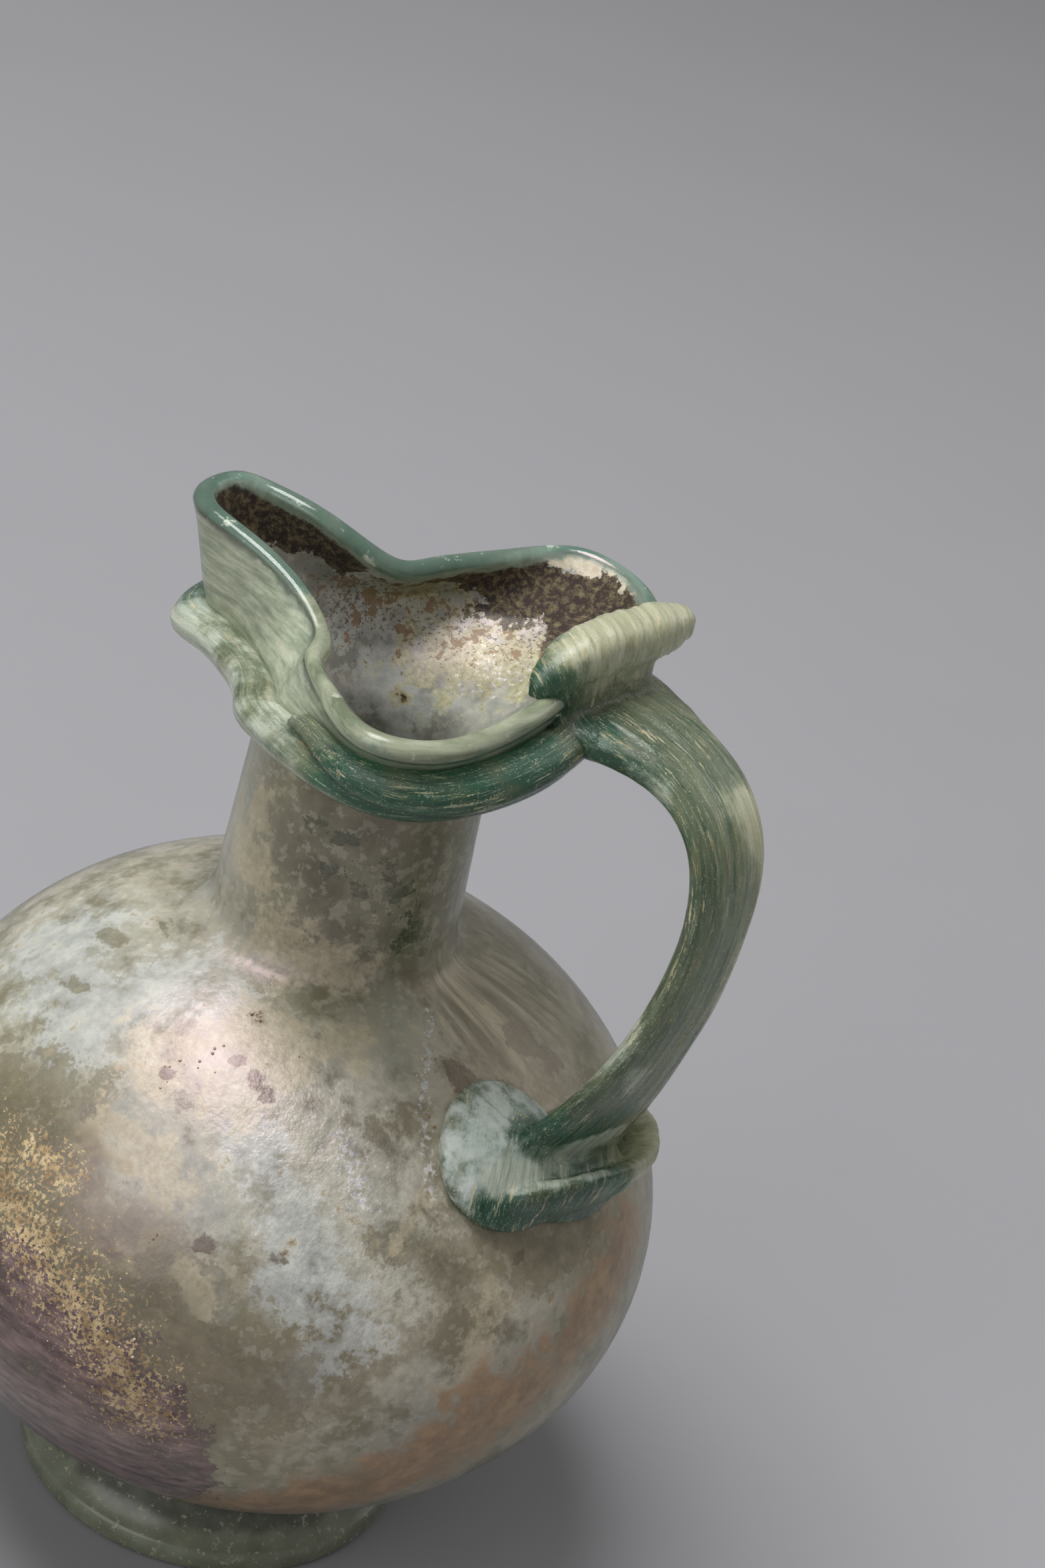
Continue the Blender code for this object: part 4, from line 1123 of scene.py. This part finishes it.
def matt_floor(look):
    """Plain pale floor of matt board, which gives the eye nothing but a soft shadow."""
    material, tree, shader, place = new_material("Matt board")
    tone = add_node(tree, "ShaderNodeMapRange", {0: noise(tree, place, 40.0, 2.0), 3: 0.98, 4: 1.02})
    colour = add_node(tree, "ShaderNodeVectorMath", {0: look.floor, "Scale": tone}, operation="SCALE")
    plug(shader, {"Base Color": colour, "Roughness": 0.85})
    return material


def keep_inside(obj):
    """Flattens whatever stands out of the jug's own box, by less than a grain of sand."""
    points = np.clip(points_of(obj), CAD_BOX[0], CAD_BOX[1])
    obj.data.vertices.foreach_set("co", points.astype(np.float32).ravel())
    obj.data.update()


def finish_piece(obj, node):
    """Keeps a finished piece in the jug's box, lets it ride on the jug, and hides the solid that it stands
    for.
    """
    keep_inside(obj)
    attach(obj, "root")
    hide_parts(node)


# Marks on the body: a half width in millimetres, and the places passed as azimuth and slope
BODY_MARKS = {
    "film": ((9.0, ((-145, 50), (-115, 52), (-108, 66))), (4.5, ((-98, 38), (-75, 35))),
             (4.5, ((-82, 50), (-69, 41), (-60, 28))), (5.0, ((-60, 60), (-40, 62))),
             (5.0, ((-62, 46), (-52, 32))), (6.0, ((-40, -8), (-22, 6))),
             (9.0, ((150, 40), (60, 20), (100, -20)))),
    "blue": ((2.4, ((-79, 49), (-69, 41), (-63, 32), (-58, 26))),
             (3.2, ((-63, 23), (-58, 20), (-53, 16), (-56, 10))), (1.8, ((-74, 19), (-70, 16))),
             (5.0, ((-146, 50), (-118, 46), (-109, 62)))),
    "tan": ((2.0, ((-105, 51), (-95, 54), (-94, 47))), (2.2, ((-87, 48), (-76, 50))),
            (2.6, ((-82, 59), (-70, 57), (-59, 62))), (2.4, ((-97, 37), (-83, 34))),
            (1.0, ((-40, 38), (-45, 32))), (0.9, ((-77, 21), (-72, 16))), (2.2, ((-30, 18), (-34, 8))),
            (3.0, ((170, 10), (150, 5)))),
    "window": ((0.8, ((-132, 48), (-126, 50))), (0.9, ((-142, 56), (-135, 58))),
               (0.7, ((-138, 65), (-132, 65))), (1.3, ((-50, 48), (-46, 45))),
               (2.0, ((-46, 32), (-41, 29), (-36, 25))), (4.4, ((-118, 30), (-102, 34))),
               (4.8, ((-85, 21), (-72, 13), (-63, 6))), (3.0, ((-100, 20), (-94, 14))),
               (3.0, ((-27, 30), (-20, 24), (-8, 26))), (3.0, ((2, 63), (-6, 56))),
               (5.0, ((120, 20), (90, 0)))),
    "spot": ((0.5, ((-95, 48), (-94, 48))), (0.6, ((-83, 55), (-82, 55))), (0.6, ((-77, 53), (-75, 52))),
             (0.5, ((-73, 51), (-72, 51))), (0.7, ((-76, 26), (-75, 26))), (0.6, ((-65, 27), (-64, 27))),
             (0.5, ((-25, 26), (-24, 26))), (1.2, ((-27, 57), (-23, 53))), (1.1, ((-17, 52), (-13, 50))),
             (1.5, ((0, 57), (5, 51)))),
    # Where the painted glints lie: bluish-white specks that stand in for light off sparkling flakes
    "painted_glint": ((1.0, ((-23, 66), (-36, 55), (-39, 46), (-39, 38))), (3.0, ((-56, 46), (-52, 38)))),
    "gold": ((6.5, ((-112, 20), (-100, 15), (-88, 8), (-78, -5))), (3.0, ((-107, 27), (-99, 27)))),
    "violet": ((6.5, ((-112, -2), (-98, 1), (-88, -3), (-80, -12))),
               (8.0, ((-116, -20), (-96, -20), (-80, -24))), (4.0, ((-130, -14), (-118, -6)))),
    # The coppery band: real coppery film, partly a painted reflection of warm skin colour
    "copper_and_reflection": ((5.0, ((-104, -38), (-80, -34), (-56, -32), (-40, -14), (-22, 0))),
               (4.0, ((-14, 6), (2, 16)))),
    "pitted": ((6.0, ((-60, 47), (-55, 38), (-49, 30))), (3.0, ((-46, 39), (-48, 45)))),
    "fan": ((5.0, ((8, 68), (-3, 60), (20, 60))),),
    "grit": ((0.7, ((-23, 66), (-36, 55), (-39, 46), (-39, 40))), (3.0, ((-100, 13), (-90, 8), (-80, -3))),
             (1.0, ((-95, 49), (-70, 58)))),
}

# Marks on the neck and mouth: a half width, and the places passed as x, y and z in millimetres
NECK_MARKS = {
    "green": ((1.6, ((3, -11, 75), (6, -10, 73.5))), (2.4, ((8, -8, 74), (10.7, -4, 67))),
              (1.2, ((0.5, -11, 78), (5, -10, 78)))),
    "tan": ((2.2, ((-6, -10, 76), (-5, -10, 72))), (2.5, ((-1, -11.5, 65), (6.5, -9.6, 65)))),
    "film": ((9.0, ((-8, -6, 72), (-8, 6, 72))),),
    # Partly stained glass, partly painted shade on the neck's side away from the key lamp
    "neck": ((7.0, ((2, -11, 80), (4, -11, 70), (10, -2, 74), (8, 8, 74))),),
}

# Marks inside the mouth, in the same way
INSIDE_MARKS = {
    "dark": ((1.4, ((-7, 11, 93.5), (-1, 15.4, 93.8))),
             (2.6, ((-1, 15.4, 93.8), (2, 19, 92.5), (8, 20.8, 93.0))),
             (3.4, ((8, 20, 92.5), (14, 17.8, 93.0), (17, 9, 94), (17, 0, 94))),
             (2.6, ((-20, 1.3, 97.5), (-18, 5, 97), (-11, 7, 94.7)))),
    "cream": ((1.0, ((-20, 3, 99.5), (-14, 7, 98.5))),
              (1.2, ((4, 21.7, 95.8), (9, 22.7, 95.9), (14.5, 19, 96.2), (18, 10, 97)))),
    "moss": ((5.0, ((-1, 13, 86), (5, 14, 88), (10, 14, 90))), (3.0, ((-6, 12, 92), (2, 16, 91)))),
    "rust": ((6.0, ((-9, 9, 90), (0, 14, 90), (8, 16, 91))),),
    "blue": ((6.0, ((-9, 9, 86), (-4, 10, 82))),),
    # Painted glints inside the mouth
    "painted_glint": ((4.0, ((4, 13, 86), (9, 12, 86))),),
}

# The lip is silky from the near pinch round to the handle, and clear elsewhere
SILKY_LIP = ((4.5, ((-5, -10, 95), (0, -14, 95), (5, -21, 96), (12, -22, 96), (17, -10, 97))),)

# Marks on the thread and on the handle, in the same way. The thread has no pad, but the same glass
THREAD_MARKS = {
    # A narrow band of slender, paler glass along the thread's front
    "thin_and_lit": ((1.2, ((-8, -14, 86.5), (2, -20, 87), (8, -24, 88))),),
    "pale": ((4.0, ((-17, -6, 87), (-10, -12, 87), (-4, -17, 87.5), (2, -20, 88))),),
    "deep": ((3.0, ((-19, -4, 89), (-20, 2, 90))), (4.5, ((8, -24, 90), (14, -18, 90), (18, -10, 90)))),
    "pad": (),
}
HANDLE_MARKS = {
    # Slender glass of the rest and the strap's edges, painted lighter for light falling on the rest and
    # through the edges
    "thin_and_lit": ((3.0, ((36, 2, 90), (38, 5, 82), (37, 4, 72))),
             (4.5, ((17, -5, 101), (19, 2, 102), (22, 10, 102))),
             (3.0, ((33, 4, 58), (30, 4, 60))), (2.6, ((35, 0, 53), (36, 3, 55)))),
    "pale": ((2.6, ((24, -9, 93), (28, -8, 91))), (3.0, ((30, -6, 66), (32, -4, 70))),
             (1.6, ((27, -15, 56), (30, -11, 56), (33, -3, 56)))),
    "deep": ((3.5, ((14, -8, 98), (18, -8, 97))), (3.0, ((22, -6, 93), (30, -6, 86))),
             (3.5, ((27, -13, 52), (33, -6, 52))), (3.0, ((29, -9, 58), (31, -5, 60)))),
}


def blown_marks(jug, points, inside):
    """All marks of the blown vessel, one number at each point for each kind of mark."""
    fields = {}
    for name, trails in BODY_MARKS.items():
        placed = [(half, [on_body(jug, *np.radians(place)) / MM for place in places])
                  for half, places in trails]
        fields[name] = near(points, placed) * (1.0 - inside)
    for marks, where in ((NECK_MARKS, 1.0 - inside), (INSIDE_MARKS, inside)):
        for name, trails in marks.items():
            fields[name] = np.maximum(fields.get(name, 0.0), near(points, trails) * where)
    return fields


class GLASSJUG_OT_vessel(bpy.types.Operator):
    """Makes the blown body, neck and mouth with their weathered skin"""

    bl_idname = "glassjug.vessel"
    bl_label = "Vessel"

    def execute(self, context):
        jug, relief, look = context.scene.jug_form, context.scene.jug_relief, context.scene.jug_colours
        rings, thread_row = vessel_rings(jug, COLUMNS, BODY_ROWS, UPPER_ROWS)
        normal, _ = ring_frames(rings)
        walls = np.full(len(rings), jug.wall)
        walls[thread_row:] = np.linspace(jug.wall, jug.lip_wall, len(rings) - thread_row)
        inner = rings - normal * walls[:, None, None]
        kept = [*range(0, BODY_ROWS, 4), *range(BODY_ROWS, len(rings), 2), len(rings) - 1]
        crest = lip_crest(jug, rings, 0.0, LIP_ROWS)
        vessel = stack("glass_vessel", list(rings) + crest + [inner[row] for row in reversed(kept)])

        points = points_of(vessel)
        lip_start = len(rings) * COLUMNS
        lip_end = lip_start + len(crest) * COLUMNS
        inside = np.zeros(len(points))
        inside[lip_end:] = 1.0
        # Bare glass on the lip fades out a little way down its sides
        crown = np.mean(crest[len(crest) // 2 - 1:len(crest) // 2 + 2], axis=0) / MM
        bare = near(points, [(LIP_FADE, list(crown) + [crown[0]])])
        bare = np.where(bare > 0.01, bare + 0.12, 0.0)
        bare[lip_start:lip_end] = 1.0
        silk = near(points, SILKY_LIP)
        silk[thread_row * COLUMNS:lip_start] = 1.0
        silk[lip_end:] = 0.0
        # The way that the glass flowed when the neck was pulled: along the height, round the axis
        around = np.arctan2(points[:, 1], points[:, 0]) * FLOW_RADIUS
        reach = np.hypot(points[:, 0], points[:, 1])
        flow = np.stack([around, reach * FLOW_STRETCH, points[:, 2] * FLOW_STRETCH], axis=1)
        fields = {"bare": bare, "inside": inside, "flow": flow, "silk": silk}
        for name, field in {**fields, **blown_marks(jug, points, inside)}.items():
            store(vessel, name, field)

        grow(vessel, weathered_skin_tree(), weathered_glass(look), skin=relief.skin,
             pit_depth=relief.pit_depth, pit_size=relief.pit_size, crust_height=relief.crust_height,
             ripple=relief.ripple)
        vessel.data.materials.append(lip_glass(look))
        polished = np.array([min(face.vertices) >= lip_start and max(face.vertices) < lip_end
                             for face in vessel.data.polygons])
        vessel.data.polygons.foreach_set("material_index", polished.astype(np.int32))
        finish_piece(vessel, "vessel")
        return {"FINISHED"}


class GLASSJUG_OT_foot(bpy.types.Operator):
    """Makes the applied foot"""

    bl_idname = "glassjug.foot"
    bl_label = "Foot"

    def execute(self, context):
        jug, look = context.scene.jug_form, context.scene.jug_colours
        seat = -math.acos(FOOT_SEAT_RADIUS / jug.body_radius)
        dish = [on_curve(jug, angle, GAP) for angle in np.linspace(math.radians(BODY_BOTTOM), seat, 12)]
        side_top = dish[-1] + np.array([FOOT_SEAT_STEP, 0.0])
        side_foot = np.array([jug.foot_radius, FOOT_EDGE])
        profile = list(dish)
        for t in np.linspace(0.0, 1.0, 16):
            profile.append(side_top + t * (side_foot - side_top) - FOOT_SIDE_SAG * math.sin(math.pi * t))
        corner = np.array([jug.foot_radius - FOOT_CORNER, FOOT_CORNER])
        for angle in np.radians(np.linspace(0.0, -90.0, 8)):
            profile.append(corner + FOOT_CORNER * np.array([math.cos(angle), math.sin(angle)]))
        for share in (0.8, 0.55, 0.3, 0.1):
            profile.append(np.array([share * jug.foot_radius, 0.0]))
        foot = stack("glass_foot", [circle(*point, FOOT_COLUMNS) for point in profile])
        reach = np.hypot(*points_of(foot)[:, :2].T)
        rim = (reach - FOOT_RIM_START * jug.foot_radius) / (FOOT_RIM_FADE * jug.foot_radius)
        store(foot, "rim", np.clip(rim, 0.0, 1.0))
        foot.data.materials.append(pressed_glass(look))
        finish_piece(foot, "foot")
        return {"FINISHED"}


class GLASSJUG_OT_thread(bpy.types.Operator):
    """Makes the thread wound round the mouth, with its overlapping tail"""

    bl_idname = "glassjug.thread"
    bl_label = "Rim Thread"

    def execute(self, context):
        jug, relief, look = context.scene.jug_form, context.scene.jug_relief, context.scene.jug_colours
        sections = thread_sections(jug, range(COLUMNS), np.ones(COLUMNS), STRAND_HEIGHT, STRAND_RISE)
        thread = stack("glass_rim_thread", sections, loop=True)
        first = COLUMNS - round(TAIL_START / 360.0 * COLUMNS)
        last = COLUMNS - round(TAIL_END / 360.0 * COLUMNS)
        columns = range(first, last - 1, -1)
        sizes = np.clip(TAIL_TAPER * np.linspace(1.0, 0.0, len(columns)), TAIL_TIP, 1.0) ** 0.5
        tail = stack("thread_tail_form", thread_sections(jug, columns, sizes, TAIL_HEIGHT, TAIL_RISE))
        fuse(thread, [tail], [], THREAD_GRID)

        points = points_of(thread)
        middles = np.array([np.mean(section, axis=0) for section in sections])
        quarter = THREAD_SIDES // 4
        ways = unit(np.array([section[quarter] - section[3 * quarter] for section in sections]))
        store(thread, "grain", drawn_grain(points, [(middles, ways, False)]))
        store(thread, "drawn", np.ones(len(points)))
        for name, trails in THREAD_MARKS.items():
            store(thread, name, near(points, trails))
        grow(thread, drawn_ribs_tree(), drawn_glass("Applied thread glass", look, 0.7),
             rib_depth=0.6 * relief.rib_depth, rib_spacing=relief.rib_spacing, stretch=0.04)
        finish_piece(thread, "rim_thread")
        return {"FINISHED"}


class GLASSJUG_OT_handle(bpy.types.Operator):
    """Makes the strap handle with its thumb rest, pads and claw"""

    bl_idname = "glassjug.handle"
    bl_label = "Handle"

    def execute(self, context):
        jug, relief, look = context.scene.jug_form, context.scene.jug_relief, context.scene.jug_colours
        strap, *strap_line = strap_sections(jug)
        rest, stem, *rest_line = rest_sections(jug)
        claw, *claw_line = claw_sections(jug)
        pad = pad_rings(jug, PAD_AZIMUTH, PAD_SLOPE, PAD_RADIUS, PAD_RADIUS, PAD_SINK)
        strap_pad = pad_rings(jug, STRAP_AZIMUTH, STRAP_SLOPE, *STRAP_PAD, 1.5 * PAD_SINK)
        handle = stack("glass_handle", strap)
        forms = [stack("rest_form", rest), stack("stem_form", stem), stack("claw_form", claw),
                 stack("pad_form", pad), stack("strap_pad_form", strap_pad)]
        fuse(handle, forms, [filled_vessel(jug, "vessel_clearance", HANDLE_SEAM)], HANDLE_GRID)

        points = points_of(handle)
        lines = [(*strap_line, False), (*rest_line, True), (*claw_line, True)]
        store(handle, "grain", drawn_grain(points, lines))
        # The round pad's own mark ends where the strap rises out of it
        pad_centre = on_body(jug, math.radians(PAD_AZIMUTH), math.radians(PAD_SLOPE), GAP) / MM
        pad_mark = near(points, [(PAD_MARK, (pad_centre, pad_centre + 0.1))])
        rounder = (1.0, 1.0, jug.body_radius / jug.body_half_height)
        from_centre = (points - UP * (BODY_LIFT + jug.body_half_height)) * rounder
        height = np.linalg.norm(from_centre, axis=1) - jug.body_radius
        pad_mark = pad_mark * np.clip((PAD_MARK_TOP - height) / PAD_MARK_FADE, 0.0, 1.0)
        store(handle, "drawn", 1.0 - np.clip(pad_mark * 3.0, 0.0, 1.0))
        store(handle, "pad", pad_mark)
        for name, trails in HANDLE_MARKS.items():
            store(handle, name, near(points, trails))
        grow(handle, drawn_ribs_tree(), drawn_glass("Drawn strap glass", look, 0.75),
             rib_depth=relief.rib_depth, rib_spacing=relief.rib_spacing, stretch=0.05)
        finish_piece(handle, "handle")
        return {"FINISHED"}


class GLASSJUG_OT_sand(bpy.types.Operator):
    """Strews grains of burial sand over the weathered skin"""

    bl_idname = "glassjug.sand"
    bl_label = "Burial Sand"

    def execute(self, context):
        relief, look = context.scene.jug_relief, context.scene.jug_colours
        vessel = bpy.data.objects["glass_vessel"]
        grains = bpy.data.objects.new("sand_grains", vessel.data.copy())
        context.scene.collection.objects.link(grains)
        grow(grains, sand_grains_tree(), sand_material(look), grain_size=relief.grain_size)
        keep_inside(grains)
        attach(grains, "root")
        return {"FINISHED"}


class GLASSJUG_OT_stage(bpy.types.Operator):
    """Makes the pale floor, the soft light and the camera"""

    bl_idname = "glassjug.stage"
    bl_label = "Stage"

    def execute(self, context):
        look = context.scene.jug_colours
        corners = [(x * FLOOR_HALF, y * FLOOR_HALF, 0) for x, y in ((-1, -1), (1, -1), (1, 1), (-1, 1))]
        floor = new_object("floor", corners, [(0, 1, 2, 3)])
        floor.data.materials.append(matt_floor(look))

        for name, azimuth, elevation, distance, width, power in LAMPS:
            lamp = bpy.data.lights.new(name, "AREA")
            lamp.shape = "DISK"
            lamp.size = width
            lamp.energy = power
            obj = bpy.data.objects.new(name, lamp)
            away = direction(azimuth, elevation)
            obj.location = Vector(LAMP_TARGET) + away * distance
            obj.rotation_euler = away.to_track_quat("Z", "Y").to_euler()
            context.scene.collection.objects.link(obj)
        world = bpy.data.worlds.new("Studio")
        world.use_nodes = True
        world.node_tree.nodes["Background"].inputs[0].default_value = SKY_COLOUR
        world.node_tree.nodes["Background"].inputs[1].default_value = SKY_STRENGTH
        context.scene.world = world
        context.scene.view_settings.view_transform = "Standard"

        data = bpy.data.cameras.new("camera")
        data.lens = CAMERA_LENS
        data.clip_start = 0.01
        camera = bpy.data.objects.new("camera", data)
        turn = direction(CAMERA_AZIMUTH, CAMERA_ELEVATION).to_track_quat("Z", "Y").to_matrix().to_4x4()
        roll = Matrix.Rotation(math.radians(CAMERA_ROLL), 4, "Z")
        camera.matrix_world = Matrix.Translation(CAMERA_PLACE) @ (turn @ roll)
        context.scene.collection.objects.link(camera)
        context.scene.camera = camera
        return {"FINISHED"}


class GLASSJUG_PT_panel(bpy.types.Panel):
    """Lists the steps that make the jug"""

    bl_idname = "GLASSJUG_PT_panel"
    bl_label = "Glass Jug"
    bl_space_type = "VIEW_3D"
    bl_region_type = "UI"
    bl_category = "Glass Jug"

    def draw(self, context):
        for group in (context.scene.jug_form, context.scene.jug_relief, context.scene.jug_colours):
            box = self.layout.box()
            for name in group.__annotations__:
                box.prop(group, name)
        for step in STEPS:
            self.layout.operator(step.bl_idname)


GROUPS = {"jug_form": JugForm, "jug_relief": JugRelief, "jug_colours": JugColours}
STEPS = (GLASSJUG_OT_vessel, GLASSJUG_OT_foot, GLASSJUG_OT_thread, GLASSJUG_OT_handle, GLASSJUG_OT_sand,
         GLASSJUG_OT_stage)


def register():
    """Registers the groups, the operators and the panel."""
    for name, group in GROUPS.items():
        bpy.utils.register_class(group)
        setattr(bpy.types.Scene, name, bpy.props.PointerProperty(type=group))
    for step in (*STEPS, GLASSJUG_PT_panel):
        bpy.utils.register_class(step)


def unregister():
    """Takes back what register did."""
    for step in reversed((*STEPS, GLASSJUG_PT_panel)):
        bpy.utils.unregister_class(step)
    for name, group in GROUPS.items():
        delattr(bpy.types.Scene, name)
        bpy.utils.unregister_class(group)


def main():
    """Makes the jug and its stage."""
    register()
    bpy.ops.glassjug.vessel()
    bpy.ops.glassjug.foot()
    bpy.ops.glassjug.thread()
    bpy.ops.glassjug.handle()
    bpy.ops.glassjug.sand()
    bpy.ops.glassjug.stage()


if __name__ == "__main__":
    main()
